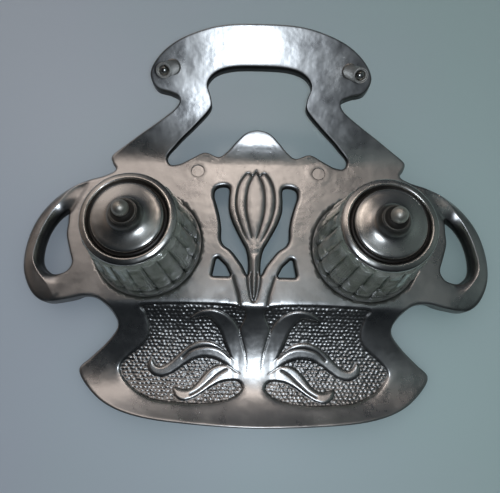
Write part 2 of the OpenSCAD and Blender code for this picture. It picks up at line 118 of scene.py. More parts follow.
def pewter(name, bright, dark, rough, wave_mm, pits=0.0, patina=True):
    """Pewter with soft waves, fine grain, scratches, and patina and painted shade from the mesh."""
    material, tree, output = new_material(name)
    place = add(tree, "ShaderNodeTexCoord").outputs["Object"]
    mottle = add(tree, "ShaderNodeTexNoise",
                 {"Scale": per_metre(MOTTLE_MM), "Detail": 5.0, "Roughness": 0.6},
                 {"Vector": place}).outputs["Fac"]
    grain = add(tree, "ShaderNodeTexNoise",
                {"Scale": per_metre(GRAIN_MM), "Detail": 4.0, "Roughness": 0.65},
                {"Vector": place}).outputs["Fac"]
    wave = add(tree, "ShaderNodeTexNoise",
               {"Scale": per_metre(wave_mm), "Detail": 2.0}, {"Vector": place}).outputs["Fac"]
    # Long thin scratches: noise stretched along one slanted direction
    thin_and_long = (per_metre(0.5), per_metre(14), per_metre(6))
    slanted = add(tree, "ShaderNodeMapping", {"Rotation": (0.0, 0.0, 0.5), "Scale": thin_and_long},
                  {"Vector": place}).outputs["Vector"]
    scratch = add(tree, "ShaderNodeTexNoise", {"Scale": 1.0, "Detail": 2.0},
                  {"Vector": slanted}).outputs["Fac"]
    base = add(tree, "ShaderNodeValToRGB", links={"Fac": mottle},
               stops=[(0.3, dark), (0.62, bright)]).outputs["Color"]
    rough_wear = add(tree, "ShaderNodeMapRange",
                     {"From Min": 0.3, "From Max": 0.7,
                      "To Min": rough - 0.05, "To Max": rough + 0.06},
                     {"Value": mottle}).outputs["Result"]
    height = add(tree, "ShaderNodeMath", {"operation": "MULTIPLY_ADD", 1: 0.25},
                 {0: scratch, 2: grain}).outputs[0]
    if pits:
        # Casting pits lie only where the mesh's "pits" attribute asks for them
        cells = add(tree, "ShaderNodeTexVoronoi", {"Scale": per_metre(PIT_MM), "Randomness": 1.0},
                    {"Vector": place}).outputs["Distance"]
        pit = add(tree, "ShaderNodeMapRange",
                  {"From Min": 0.06, "From Max": 0.26, "To Min": -1.0, "To Max": 0.0},
                  {"Value": cells}).outputs["Result"]
        where = add(tree, "ShaderNodeAttribute", {"attribute_name": "pits"}).outputs["Fac"]
        pit = add(tree, "ShaderNodeMath", {"operation": "MULTIPLY"},
                  {0: pit, 1: where}).outputs[0]
        height = add(tree, "ShaderNodeMath", {"operation": "MULTIPLY_ADD", 1: pits},
                     {0: pit, 2: height}).outputs[0]
    if patina:
        # The mesh's "patina" attribute darkens and dulls: patina in hollows, and on the casting
        # also painted shade at its edges and walls
        darkening = add(tree, "ShaderNodeAttribute", {"attribute_name": "patina"}).outputs["Fac"]
        base = add(tree, "ShaderNodeMix", {"data_type": "RGBA", "B": colour(PATINA)},
                   {"Factor": darkening, "A": base}).outputs["Result"]
        rough_wear = add(tree, "ShaderNodeMath", {"operation": "MULTIPLY_ADD", 1: 0.18},
                         {0: darkening, 2: rough_wear}).outputs[0]
    waves = add(tree, "ShaderNodeBump", {"Strength": 1.0, "Distance": WAVE_SHARE * wave_mm * MM},
                {"Height": wave}).outputs["Normal"]
    normal = add(tree, "ShaderNodeBump", {"Strength": 0.32, "Distance": GRAIN_DEEP * MM},
                 {"Height": height, "Normal": waves}).outputs["Normal"]
    shader = add(tree, "ShaderNodeBsdfPrincipled", {"Metallic": 1.0},
                 {"Base Color": base, "Roughness": rough_wear, "Normal": normal})
    tree.links.new(shader.outputs[0], output.inputs["Surface"])
    return material


# Satin casting: broad soft gleams over a faint unevenness, with pits where it was filed
casting_metal = pewter("satin_cast_pewter", "#cccac7", "#abaaa9", 0.29, 10, pits=2.2)
# Lids, turned and polished: brighter, with tighter gleams and long waves
lid_metal = pewter("polished_turned_pewter", "#d6d3cd", "#bab6b0", 0.24, 14)
# Knobs, dulled by fingers: the glint spreads over the ball
knob_metal = pewter("worn_knob_pewter", "#dad5ca", "#b5b0a5", 0.5, 4)
# Pegs, left as they came off the lathe: a soft grey sheen
peg_metal = pewter("dull_peg_pewter", "#c4c1bb", "#9c9993", 0.44, 8)
# Feet, never polished: darker and dull
foot_metal = pewter("dull_foot_pewter", "#9c9a95", "#75736e", 0.42, 8, patina=False)
print("nodes in the casting's material", len(casting_metal.node_tree.nodes))

# %% [markdown]
# ## Pressed glass
# The wells are soda glass pressed in a mould, with a faint green tint. Its faces
# are slightly wavy, so what lies behind them is drawn out and broken up. The dark
# lines between the lobes, which the glass gives by bending the light, are painted
# shade in its tint. Full transmission makes a hollow well almost black in a dark
# room, so a small share of the light is scattered, as the chilled skin and the seeds of old glass
# do.

# %% Glass material
FLOW_MM, FLOW_DEEP = 6, 0.16  # length and depth of the waves in the glass


def pressed_glass(name):
    """Tinted glass, with painted shade where the mesh's "thick" attribute asks for it."""
    material, tree, output = new_material(name)
    place = add(tree, "ShaderNodeTexCoord").outputs["Object"]
    flow = add(tree, "ShaderNodeTexNoise", {"Scale": per_metre(FLOW_MM), "Detail": 1.0},
               {"Vector": place}).outputs["Fac"]
    normal = add(tree, "ShaderNodeBump", {"Strength": 1.0, "Distance": FLOW_DEEP * MM},
                 {"Height": flow}).outputs["Normal"]
    tint = add(tree, "ShaderNodeValToRGB", links={"Fac": flow},
               stops=[(0.3, "#dde4d5"), (0.7, "#f3f6ee")]).outputs["Color"]
    # Painted shade: the mesh's "thick" attribute darkens the tint between the lobes
    thick = add(tree, "ShaderNodeAttribute", {"attribute_name": "thick"}).outputs["Fac"]
    tint = add(tree, "ShaderNodeMix", {"data_type": "RGBA", "B": colour("#4a5548")},
               {"Factor": thick, "A": tint}).outputs["Result"]
    # The scattered share is larger along the flow lines
    clear_share = add(tree, "ShaderNodeMapRange",
                      {"From Min": 0.35, "From Max": 0.65, "To Min": 0.84, "To Max": 0.74},
                      {"Value": flow}).outputs["Result"]
    shader = add(tree, "ShaderNodeBsdfPrincipled",
                 {"IOR": 1.5, "Roughness": 0.07, "Specular IOR Level": 0.8},
                 {"Base Color": tint, "Normal": normal, "Transmission Weight": clear_share})
    tree.links.new(shader.outputs[0], output.inputs["Surface"])
    return material


# Pale green glass: soft see-through lobes with painted dark lines between, and small sharp glints
glass = pressed_glass("pale_green_pressed_glass")
print("nodes in the glass", len(glass.node_tree.nodes))

# %% [markdown]
# ## Brass and steel
# The sleeves and nuts are rolled or turned brass and the screws bright steel.
# They are small and dull, so a fine grain that breaks the highlight and a little
# tarnish are enough. Rings from a lathe would be too fine to show here.

# %% Brass and steel materials
TARNISH_MM, LINE_MM, LINE_DEEP = 3, 0.4, 0.03  # sizes of tarnish and grain, depth of grain


def small_metal(name, bright, dark, rough):
    """Metal of a small fixing: fine grain and a little tarnish."""
    material, tree, output = new_material(name)
    place = add(tree, "ShaderNodeTexCoord").outputs["Object"]
    tarnish = add(tree, "ShaderNodeTexNoise", {"Scale": per_metre(TARNISH_MM), "Detail": 4.0},
                  {"Vector": place}).outputs["Fac"]
    lines = add(tree, "ShaderNodeTexNoise", {"Scale": per_metre(LINE_MM), "Detail": 2.0},
                {"Vector": place}).outputs["Fac"]
    normal = add(tree, "ShaderNodeBump", {"Strength": 0.5, "Distance": LINE_DEEP * MM},
                 {"Height": lines}).outputs["Normal"]
    level = add(tree, "ShaderNodeMapRange",
                {"From Min": 0.3, "From Max": 0.7,
                 "To Min": rough - 0.06, "To Max": rough + 0.1},
                {"Value": tarnish}).outputs["Result"]
    base = add(tree, "ShaderNodeValToRGB", links={"Fac": tarnish},
               stops=[(0.35, dark), (0.6, bright)]).outputs["Color"]
    shader = add(tree, "ShaderNodeBsdfPrincipled", {"Metallic": 1.0},
                 {"Base Color": base, "Roughness": level, "Normal": normal})
    tree.links.new(shader.outputs[0], output.inputs["Surface"])
    return material


# Brass, dulled in the air: a muted yellow that hardly gleams
brass = small_metal("dull_brass", "#b79b62", "#7c6740", 0.34)
# Turned steel: a small bright glint in the peg's dark recess
steel = small_metal("bright_turned_steel", "#c9c8c4", "#8e8c88", 0.24)
print("nodes in the brass", len(brass.node_tree.nodes))

# %% [markdown]
# ## Curves of the plan
# The plan is drawn in millimetres with the crest of the trough at y = 0. Each
# outline is a few points with a smooth curve through them, as in the solids, so
# a form can be moved by moving one point.

# %% Curves
CREST_Y = -44.0  # the crest's place in the frame
DECK_Z = 18.0  # the deck's height above the table
STEPS = 6  # pieces of curve from one given point to the next


def curve(a, b, c, d, t):
    """Point at t on a smooth curve from b to c, with a before it and d behind."""
    return (b + (c - a) * t / 2 + (2 * a - 5 * b + 4 * c - d) * t * t / 2
            + (3 * b - a - 3 * c + d) * t**3 / 2)


def smooth(points, closed=False):
    """Points on a smooth curve through a few points, open or closed."""
    p = np.array(points, float)
    n = len(p)
    out = []
    for i in range(n if closed else n - 1):
        around = [(i + k) % n if closed else min(max(i + k, 0), n - 1) for k in (-1, 0, 1, 2)]
        out += [curve(*p[around], s / STEPS) for s in range(STEPS)]
    return np.array(out if closed else out + [p[-1]])


def both_halves(points):
    """Closed outline from its right half, which starts and ends on the middle line."""
    p = [(-points[1][0], points[1][1]), *points, (-points[-2][0], points[-2][1])]
    half = [curve(*np.array(p[i - 1 : i + 3], float), s / STEPS)
            for i in range(1, len(points)) for s in range(STEPS)] + [np.array(points[-1], float)]
    return np.array(half + [(-x, y) for x, y in half[-2:0:-1]])


def rounded(corners, steps=4):
    """Polygon whose corners (x, y, r) are rounded."""
    out = []
    for i, (x, y, r) in enumerate(corners):
        p = np.array([x, y])
        u = np.array(corners[i - 1][:2]) - p
        v = np.array(corners[(i + 1) % len(corners)][:2]) - p
        u, v = u / np.linalg.norm(u), v / np.linalg.norm(v)
        half = math.acos(u @ v) / 2
        middle = (u + v) / np.linalg.norm(u + v)
        centre = p + middle * r / math.sin(half)
        a, b = p + u * r / math.tan(half) - centre, p + v * r / math.tan(half) - centre
        start = math.atan2(a[1], a[0])
        turn = (math.atan2(b[1], b[0]) - start + math.pi) % (2 * math.pi) - math.pi
        out += [centre + r * np.array([math.cos(start + turn * s / steps),
                                       math.sin(start + turn * s / steps)])
                for s in range(steps + 1)]
    return np.array(out)


print("a rounded square has", len(rounded([(0, 0, 1), (9, 0, 1), (9, 9, 1), (0, 9, 1)])), "points")

# %% [markdown]
# The mesh needs these lines evenly divided, moved sideways and mirrored, and it
# needs to know how far any point lies from them and on which side.

# %% Lines and distances


def even(line, gap, closed=False):
    """The same line with points about a gap apart."""
    p = np.vstack([line, line[:1]]) if closed else line
    run = np.r_[0, np.cumsum(np.linalg.norm(np.diff(p, axis=0), axis=1))]
    count = max(int(round(run[-1] / gap)), 3)
    at = np.linspace(0, run[-1], count + 1)[: count if closed else None]
    return np.c_[np.interp(at, run, p[:, 0]), np.interp(at, run, p[:, 1])]


def offset(line, d, closed=False):
    """The line moved sideways by d, to its left where d is positive."""
    if closed:
        along = np.roll(line, -1, 0) - np.roll(line, 1, 0)
    else:
        along = np.gradient(line, axis=0)
    along /= np.linalg.norm(along, axis=1)[:, None]
    return line + d * np.c_[-along[:, 1], along[:, 0]]


def mirrored(line):
    """The line on the other side of the middle plane."""
    return line * [-1, 1]


def winding(line):
    """Positive for a closed line that runs anticlockwise."""
    x, y = line[:, 0], line[:, 1]
    return np.sum(x * np.roll(y, -1) - np.roll(x, -1) * y)


def inside(points, polygon):
    """True for each point inside a closed polygon."""
    x, y = points[:, 0][:, None], points[:, 1][:, None]
    a, b = polygon, np.roll(polygon, -1, 0)
    crosses = (a[:, 1] > y) != (b[:, 1] > y)
    with np.errstate(divide="ignore", invalid="ignore"):
        at = a[:, 0] + (y - a[:, 1]) * (b[:, 0] - a[:, 0]) / (b[:, 1] - a[:, 1])
    return (crosses & (x < at)).sum(1) % 2 == 1


def nearest(points, samples):
    """Distance from each point to the nearest sample, and that sample's index."""
    tree = kdtree.KDTree(len(samples))
    for i, (x, y) in enumerate(samples):
        tree.insert((x, y, 0), i)
    tree.balance()
    found = [tree.find((x, y, 0)) for x, y in points]
    return np.array([f[2] for f in found]), np.array([f[1] for f in found])


def signed(q, line):
    """Distance to a closed line, positive inside it."""
    d, _ = nearest(q, even(line, 0.15, True))
    return np.where(inside(q, line), d, -d)


def step(low, high, x):
    """0 below low, 1 above high, and a smooth change between."""
    t = np.clip((x - low) / (high - low), 0, 1)
    return t * t * (3 - 2 * t)


print("halfway up a step", float(step(0, 1, 0.5)))

# %% [markdown]
# ## Outlines
# The casting is one plate with an outer edge, the arch's opening, a finger hole
# in each handle, and a long piercing and a small triangle on each side of the
# tulip. Its points are those of the solids. All but the edge and the arch are
# drawn for the right half and mirrored.

# %% Outer edge and openings
edge = both_halves([
    (0, 160), (20, 159.5), (36, 157), (52, 152), (63.5, 145), (69, 137.5),
    (65.5, 131), (57, 129), (51.5, 126.5), (54, 122), (65, 115.5), (82, 106.5),
    (97, 97.5), (97, 91.5), (94.5, 86.5), (102, 82), (118.5, 76.5), (132, 66.5),
    (142, 52), (146.6, 35), (146, 18), (139, 4), (129, -2), (117, -0.5),
    (106, 2), (96.5, 0.5), (88, -7), (85, -15), (91, -24), (101, -34),
    (107.5, -41), (102.5, -50), (90, -60), (72, -66.5), (46, -70), (0, -72)])
arch = both_halves([
    (0, 141.5), (16.5, 141), (27.3, 138.5), (32.6, 133.5), (30.6, 127), (31.1, 122),
    (40.6, 114), (52.7, 105), (59.8, 97.5), (57.8, 91.5), (51.5, 92), (44, 96),
    (35, 100), (26, 97.5), (20.5, 100.5), (14, 106), (7.5, 110.5), (0, 112)])
arch += [-0.8, 0]  # the opening sits a little left of the middle
handle = smooth([
    (122.5, 58), (129, 53.5), (134.5, 43.5), (136.8, 31), (135.2, 21.5),
    (128, 16), (119.5, 16.5), (115.5, 22.5), (118, 31), (121, 41), (121, 50)], True)
piercing = smooth([
    (17.7, 75.5), (22.2, 76.8), (26.4, 74.8), (27.1, 70), (25.3, 64), (23.3, 57),
    (21.9, 49), (21.6, 41), (19.6, 37), (15.3, 34), (11.1, 29), (7.2, 23.5),
    (4.4, 18), (3.9, 23), (4.3, 28.5), (5.7, 34.5), (8.6, 40), (11.8, 46),
    (15.1, 53), (17.3, 60), (17.7, 67)], True)
triangle = rounded([(24.1, 29.5, 1.2), (26.4, 17, 0.8), (14.6, 17, 0.8), (17.9, 23.5, 8)])
TULIP_X = -1.2  # the middle line of the tulip and its piercings
FOOT_AT, FOOT_R = (40, 87), 4.05  # a rear foot's spigot, which comes up through the deck
turn = np.linspace(0, 2 * math.pi, 30, endpoint=False)
foot_hole = np.c_[FOOT_AT[0] + FOOT_R * np.cos(turn), FOOT_AT[1] + FOOT_R * np.sin(turn)]
WELL_AT, SEAT_R = (69.3, 36.5), 34.2  # middle and radius of the right well's round seat
print("outline points", len(edge) + len(arch) + len(handle) + len(piercing))

# %% [markdown]
# The ornament follows: the ground of the trough, three leaves on it, and the
# lines that were chased into the metal. These are the tulip's bloom and petals,
# its stem, the two bands that frame the stem, a fold along two of the leaves,
# and the ridge along each handle.

# %% Ornament
ground = smooth([
    (9.5, -2), (9, -16), (6, -28), (5.5, -40), (7.5, -46), (6.5, -51), (12, -56),
    (22, -59), (34, -60), (46.5, -59.5), (58, -58.5), (67, -55.5),
    (76, -50), (82, -43), (82.5, -38), (77.5, -32), (71, -26.5), (66.5, -21),
    (66, -14), (68, -7), (66.5, -1.5)], True)
leaves = [
    smooth([(4, -37), (8, -22), (12, -12.5), (18, -7), (26, -4.5), (34, -5.5),
            (40, -9.5), (35, -8.8), (29, -8.3), (24.5, -11.5), (20.5, -17.5),
            (17.5, -25), (13, -34), (8, -42)], True),
    smooth([(5, -36), (14, -32.5), (19.5, -27.5), (25, -24), (31, -23), (36.5, -24),
            (42, -27.5), (47, -32), (52, -36.5), (57, -39), (61, -38), (63.5, -34.5),
            (65, -38), (63, -42), (58, -44), (52.5, -43), (47.5, -40),
            (42, -36), (36, -33), (30, -32), (24, -33), (17.5, -36), (10, -41.5),
            (5, -44)], True),
    smooth([(4, -40), (9, -41), (14.5, -38), (20.5, -37), (26, -39), (30.5, -43.5),
            (34.5, -48.5), (38.5, -51.5), (43, -52), (48.5, -51), (46.5, -55.5),
            (42.5, -57.5), (37.5, -56.5), (32, -53.5), (26, -49.5), (20, -46.5),
            (14, -45.5), (9, -46), (4, -50)], True)]
bloom = smooth([
    (0, 87.5), (2.4, 84.2), (5.6, 86.2), (9.4, 81.5), (11.9, 74.5), (12.6, 65),
    (11.2, 56.5), (7.8, 47), (4.6, 40), (3, 36)])
petal = smooth([(2.3, 83.6), (4.9, 77), (6, 68.4), (5.6, 58.4), (3.4, 48.5), (1.7, 42)])
stem = smooth([(1.9, 19.5), (1.7, 13.6), (1.3, 6.6), (0.5, 2.2), (0, 1.4)])
band_outer = smooth([(13.2, 17), (11, 10), (9.5, 5), (8.5, -1)])
band_inner = smooth([(4.3, 17), (3.9, 11.5), (2.8, 6.5), (1.6, 2.5), (0, 0.4)])
folds = [
    smooth([(44, -33), (39.5, -28.8), (34.3, -26.9), (28.5, -26.2), (21.6, -27.6),
            (15, -31.8)]),
    smooth([(38, -54.4), (33.2, -51.8), (28.1, -47.6), (22.5, -42.8), (17, -39.4)])]
ridge = smooth([
    (109, 77.5), (117.5, 75), (123.5, 70), (128.5, 62.5), (133.5, 54.3), (137.5, 44),
    (139.9, 33), (140.2, 26.5), (138.6, 21), (134, 14.5), (128.5, 8), (124.5, 2.2)])
print("leaf points", [len(leaf) for leaf in leaves])

# %% [markdown]
# ## Heights
# First the section from front to back, as in the solids: the trough's round
# floor, the crest, the flat deck, a bend, and the panel that leans up.

# %% Section of the stand
TROUGH_Y, TROUGH_DEEP = -40, 12  # the trough's lowest line, and its depth under the deck
FRONT_R, BACK_R = 52.045, 66.66  # radii of the trough's front and back halves
CREST_R, CREST_START = 6.0, -3.3  # the rounded crest, and where it takes over
BEND_R, PANEL_Y, PANEL_LEAN = 15.0, 99, math.radians(40)  # the bend and the panel
BACK_END = 160  # the back of the pen rest


def height_under(r, along):
    """Height of a circle of radius r at a distance from its middle."""
    return np.sqrt(np.maximum(r**2 - along**2, 0))


def section(y):
    """Height of the top face over the deck, and the slope's cosine, along y."""
    bend_start = PANEL_Y - BEND_R * math.tan(PANEL_LEAN / 2)
    bend_end = bend_start + BEND_R * math.sin(PANEL_LEAN)
    zones = [y < TROUGH_Y, y < CREST_START, y < 0, y < bend_start, y < bend_end]
    trough, bend = y - TROUGH_Y, y - bend_start
    z = np.select(zones, [
        FRONT_R - TROUGH_DEEP - height_under(FRONT_R, trough),
        BACK_R - TROUGH_DEEP - height_under(BACK_R, trough),
        height_under(CREST_R, y) - CREST_R,
        0 * y,
        BEND_R - height_under(BEND_R, bend)], (y - PANEL_Y) * math.tan(PANEL_LEAN))
    slope = np.select(zones, [
        trough / FRONT_R, trough / BACK_R, -y / CREST_R, 0 * y, bend / BEND_R],
        math.sin(PANEL_LEAN))
    return z, np.sqrt(1 - np.minimum(slope**2, 0.9))


heights = section(np.array([-70.0, TROUGH_Y, 0.0, 50.0, BACK_END]))[0]
print("lip, trough, crest, deck and arch over the deck", heights.round(2))


# %% [markdown]
# Every wall of the casting gets a soft edge, which catches the light as a thin
# line. A bevel modifier would stumble over the relief, so the height itself
# falls away near each wall. Each opening has its own width and drop.

# %% Walls and their edges
loops = {"edge": edge, "arch": arch}
for side, flip in (("right", 1), ("left", -1)):
    for name, line, middle in (("handle", handle, 0), ("piercing", piercing, TULIP_X),
                               ("triangle", triangle, TULIP_X), ("foot", foot_hole, 0)):
        loops[f"{side}_{name}"] = line * [flip, 1] + [middle, 0]
# Gap between points along each wall, and width and drop of its edge
GAP = {"edge": 0.95, "arch": 0.9, "handle": 0.8, "piercing": 0.7, "triangle": 0.6, "foot": 0.8}
WIDTH = {"edge": 1.7, "arch": 1.5, "handle": 1.1, "piercing": 2.3, "triangle": 2.2, "foot": 0.35}
DROP = {"edge": 1.5, "arch": 1.4, "handle": 1.0, "piercing": 2.8, "triangle": 2.7, "foot": 0.2}
kind = {name: name.split("_")[-1] for name in loops}
walls = {name: even(line, GAP[kind[name]], True) for name, line in loops.items()}
fine = {name: even(walls[name], 0.12, True) for name in loops}
sample = np.vstack(list(fine.values()))
owner = np.concatenate([[i] * len(fine[n]) for i, n in enumerate(fine)])
width_of = np.array([WIDTH[kind[n]] for n in fine])
drop_of = np.array([DROP[kind[n]] for n in fine])
names = list(fine)
print("walls", len(walls), "with points", sum(len(line) for line in walls.values()))

# %% [markdown]
# An edge drops away from the face as a quarter ellipse, with a little straight
# slope on the handles, so that two of them meet in a crisp ridge there.

# %% Shape of the edges
PANEL_CRISP = 0.55  # share by which the panel's edges are narrower
OUTER_DROP, HOLE_DROP = 3.4, 2.4  # from a handle's ridge to its outer edge and to the hole
GRIP_DROP, TOP_DROP = 5.0, 0.8  # more drop to the hole, along the grip and at its top
OUTER_STRAIGHT, HOLE_STRAIGHT = 0.5, 0.45  # straight share of the two slopes
ridge_fine = even(ridge, 0.15)
ridge_side = np.vstack([ridge, [(100, 2), (100, 79)]])


def fall(t, straight=0.0):
    """Share of an edge's drop at t, from 0 where it starts to 1 at the wall."""
    t = np.clip(t, 0, 1)
    return straight * t + (1 - straight) * (1 - np.sqrt(np.maximum(1 - t * t, 0)))


def beside(x, y, a, b):
    """Distance of points from the line through a and b, to its right."""
    return ((x - a[0]) * (b[1] - a[1]) - (y - a[1]) * (b[0] - a[0])) / math.dist(a, b)


def edge_drop(p, d, which):
    """How far the edges lower the top face at points p."""
    kinds = owner[which]
    crisp = 1 - PANEL_CRISP * step(92, 106, p[:, 1])
    plain = drop_of[kinds] * crisp * fall(1 - d / (width_of[kinds] * crisp))
    ax, y = np.abs(p[:, 0]), p[:, 1]
    q = np.c_[ax, y]
    zone = np.where((ax > 103) & (y > -4) & (y < 82))[0]
    if not len(zone):
        return plain
    dr, _ = nearest(q[zone], ridge_fine)
    inner = inside(q[zone], ridge_side)
    dz = d[zone]
    # Outside the ridge the bar rolls over to its outer edge
    t = dr / (dr + dz + 1e-6)
    weight = np.where(y[zone] > 20, step(108, 119, ax[zone]), step(119, 131, ax[zone]))
    outer = weight * OUTER_DROP * fall(t, OUTER_STRAIGHT) + (1 - weight) * plain[zone]
    # Inside it the bar falls to the hole. A crease parts it from the flat deck.
    px, py = ax[zone], y[zone]
    top = step(-1.6, 2.0, beside(px, py, (119.5, 57), (110.5, 77.5))) * step(52, 58, py)
    share = np.maximum(step(120.5, 126, px) * step(6, 17, py), top)
    deep = (HOLE_DROP + GRIP_DROP * step(122, 133, px) * step(6, 20, py)
            + TOP_DROP * step(54, 62, py))
    inner_drop = share * deep * fall(t, HOLE_STRAIGHT) + (1 - share) * plain[zone]
    plain[zone] = np.where(inner, np.maximum(inner_drop, 0), outer)
    return plain


print("an edge halfway has dropped", round(float(fall(0.5)), 3), "of its height")

# %% [markdown]
# The tulip is chased: a blunt punch has pressed lines into the metal. Each line
# is a groove with a round section, and dark patina stays in it after buffing.

# %% Grooves
grooves = {  # line, half width and depth in millimetres
    "bloom": (bloom, 0.46, 0.62), "petal": (petal, 0.42, 0.55), "stem": (stem, 0.46, 0.55),
    "band_outer": (band_outer, 0.6, 0.6), "band_inner": (band_inner, 0.5, 0.45),
    "fold_0": (folds[0], 0.7, 0.4), "fold_1": (folds[1], 0.65, 0.38)}


def groove_depth(p):
    """Depth of all grooves at points p, and the deepest groove's share."""
    total, share = np.zeros(len(p)), np.zeros(len(p))
    for name, (line, w, depth) in grooves.items():
        middle = 0 if name.startswith("fold") else TULIP_X
        q = np.c_[np.abs(p[:, 0] - middle), p[:, 1]]
        low, high = line.min(0) - 3, line.max(0) + 3
        near = np.where(((q > low) & (q < high)).all(1))[0]
        if len(near):
            d, _ = nearest(q[near], even(line, 0.12))
            cut = np.exp(-((d / w) ** 2))
            if name in ("bloom", "petal"):  # these two run out below the bloom
                cut *= step(37, 47, q[near, 1])
            total[near] = np.maximum(total[near], depth * cut)
            share[near] = np.maximum(share[near], cut)
    return total, share


print("grooves", len(grooves))

# %% [markdown]
# The trough's ground is stippled: rows of small beads, pressed by hand and so a
# little uneven. They are real bumps in the mesh and not only in the shading,
# because they throw shadows and break the edge of the light.

# %% Stipple
PITCH_X, PITCH_Y = 2.6, 2.05  # from bead to bead and from row to row
BEAD_X, BEAD_Y = 1.5, 1.12  # a bead's half width and half depth
TABLE = 64  # the unevenness repeats after this many beads


def bumps(p):
    """Stippled ground: staggered rows of uneven oval beads, 0 to 1 high."""
    rng = np.random.default_rng(7)
    table = rng.uniform(-1, 1, (TABLE, TABLE, 3))
    best = np.zeros(len(p))
    row = np.floor(p[:, 1] / PITCH_Y)
    for dr in (-1, 0, 1):
        r = row + dr
        shift = np.where(r % 2 == 0, 0, 0.5)
        col = np.floor(p[:, 0] / PITCH_X - shift)
        for dc in (0, 1):
            c = col + dc
            t = table[(r % TABLE).astype(int), (c % TABLE).astype(int)]
            x = (c + shift) * PITCH_X + 0.5 * t[:, 0]
            y = (r + 0.5) * PITCH_Y + 0.36 * t[:, 1]
            d = ((p[:, 0] - x) / BEAD_X) ** 2 + ((p[:, 1] - y) / BEAD_Y) ** 2
            best = np.maximum(best, np.maximum(1 - d, 0) * (0.78 + 0.22 * t[:, 2]))
    return best


print("bead heights", bumps(np.array([(0.0, 1.0), (1.3, 1.0), (2.6, 1.0)])).round(2))

# %% [markdown]
# All relief comes together here, as a height over the plain section for any
# point of the plan. The same pass tells how much patina lies there, because
# the polishing cloth never reaches the low places.

# %% Relief
GROUND_DEEP, BEAD_HIGH = 1.25, 0.62  # the ground under the leaves, and its beads
LEAF_ROLL, ROLL_WIDTH = 0.4, 1.3  # rounding of the leaves' and the frame's edges
PETAL_SWELL, STEM_HIGH, SEAT_DEEP = 0.42, 0.7, 1.0
RIVET_RING, RIVET_DOME = 0.16, 0.1  # the faint swelling round a riveted foot
TRUNK_R = 110  # radius of the trunk's round back, from side to side


def relief(p):
    """Height of leaves, tulip, ground and seats over the plain section, and patina."""
    q = np.c_[np.abs(p[:, 0]), p[:, 1]]
    z, darkening = np.zeros(len(p)), np.zeros(len(p))
    zone = np.where((q[:, 0] < 86) & (q[:, 1] < 3) & (q[:, 1] > -64))[0]
    if len(zone):
        qz = q[zone]
        leaf = np.max([signed(qz, line) for line in leaves], axis=0)
        bare = np.minimum(signed(qz, ground), -leaf)
        sunk = step(-0.05, 0.75, bare)
        rise = bumps(p[zone])
        z[zone] = -GROUND_DEEP * sunk + BEAD_HIGH * rise * step(0.5, 1.1, bare)
        # Leaves and the smooth frame round the ground roll over at their edges
        near_edge = np.clip(1 + np.minimum(bare, 0) / ROLL_WIDTH, 0, 1)
        z[zone] -= LEAF_ROLL * near_edge ** 2 * (bare < 0.05)
        darkening[zone] = (sunk * (0.5 - 0.5 * rise) + 0.5 * np.exp(-((bare - 0.45) / 0.4) ** 2))
    depth, share = groove_depth(p)
    # The petals swell between their grooves, seen from the tulip's own middle line
    t = np.c_[np.abs(p[:, 0] - TULIP_X), p[:, 1]]
    body = np.where((t[:, 0] < 14) & (t[:, 1] > 32) & (t[:, 1] < 89))[0]
    outline = np.vstack([bloom, mirrored(bloom)[::-1]])
    if len(body):
        d, _ = nearest(t[body], even(bloom, 0.15))
        d2, _ = nearest(t[body], even(petal, 0.15))
        within = inside(t[body], outline)
        swell = PETAL_SWELL * (1 - np.exp(-np.minimum(d, d2))) * step(38, 48, t[body, 1])
        z[body] += np.where(within, swell, 0)
    # The stem is a raised spindle that ends in a round nose
    half = 1.0 + 0.7 * step(42, 14, p[:, 1]) - 0.6 * step(12, 3, p[:, 1])
    spine = np.clip(1 - (t[:, 0] / half) ** 2, 0, 1)
    spine *= step(1.5, 4, p[:, 1]) * step(44, 30, p[:, 1])
    z += STEM_HIGH * spine
    # The rear feet are riveted through the deck, which leaves a faint uneven swelling
    rivet = q - FOOT_AT
    uneven = 0.9 * np.sin(2.3 * np.arctan2(rivet[:, 1], p[:, 0]) + 1)
    spread = np.hypot(rivet[:, 0] * 0.8, rivet[:, 1]) + uneven
    z += RIVET_RING * np.exp(-(((spread - 6.2) / 0.8) ** 2))
    z += RIVET_DOME * step(6.5, 3, spread)
    z -= depth
    darkening = np.maximum(darkening, 0.85 * share)
    # The trunk swells across, so that its gleam stays narrow
    trunk = step(15, 9, q[:, 0]) * step(-58, -48, p[:, 1]) * step(-2, -8, p[:, 1])
    z -= p[:, 0] ** 2 / (2 * TRUNK_R) * trunk
    # Round seats under the wells
    seat = np.linalg.norm(q - WELL_AT, axis=1)
    z -= step(SEAT_R + 0.15, SEAT_R - 0.15, seat) * SEAT_DEEP
    darkening = np.maximum(darkening, 0.5 * np.exp(-(((seat - SEAT_R) / 0.5) ** 2)))
    return z, np.clip(darkening, 0, 1)


print("seat, stem and deck", relief(np.array([WELL_AT, (TULIP_X, 20.0), (34.0, 60.0)]))[0].round(2))

# %% [markdown]
# ## Mesh of the casting
# Points are set where the form needs them: rings along every wall, rows along
# every groove, a fine grid on the ground and a coarse one elsewhere. An even
# grid fine enough for the grooves would be many times larger. A Delaunay
# triangulation joins the points, and the faces inside the holes are dropped.

# %% Point helpers


def thinned(groups):
    """Keeps points in order, each at least its group's gap away from those kept."""
    kept, cells, size = [], {}, 1.2
    for points, gap in groups:
        reach = int(math.ceil(gap / size))
        for x, y in points:
            i, j = int(x // size), int(y // size)
            near = (kept[k] for a in range(i - reach, i + reach + 1)
                    for b in range(j - reach, j + reach + 1) for k in cells.get((a, b), ()))
            if all((x - u) ** 2 + (y - v) ** 2 >= gap * gap for u, v in near):
                cells.setdefault((i, j), []).append(len(kept))
                kept.append((x, y))
    return np.array(kept)


def hex_grid(low, high, gap):
    """Points of a honeycomb between two corners."""
    ys = np.arange(low[1], high[1], gap * 0.866)
    xs = np.arange(low[0], high[0], gap)
    return np.array([(x + (k % 2) * gap / 2, y) for k, y in enumerate(ys) for x in xs])


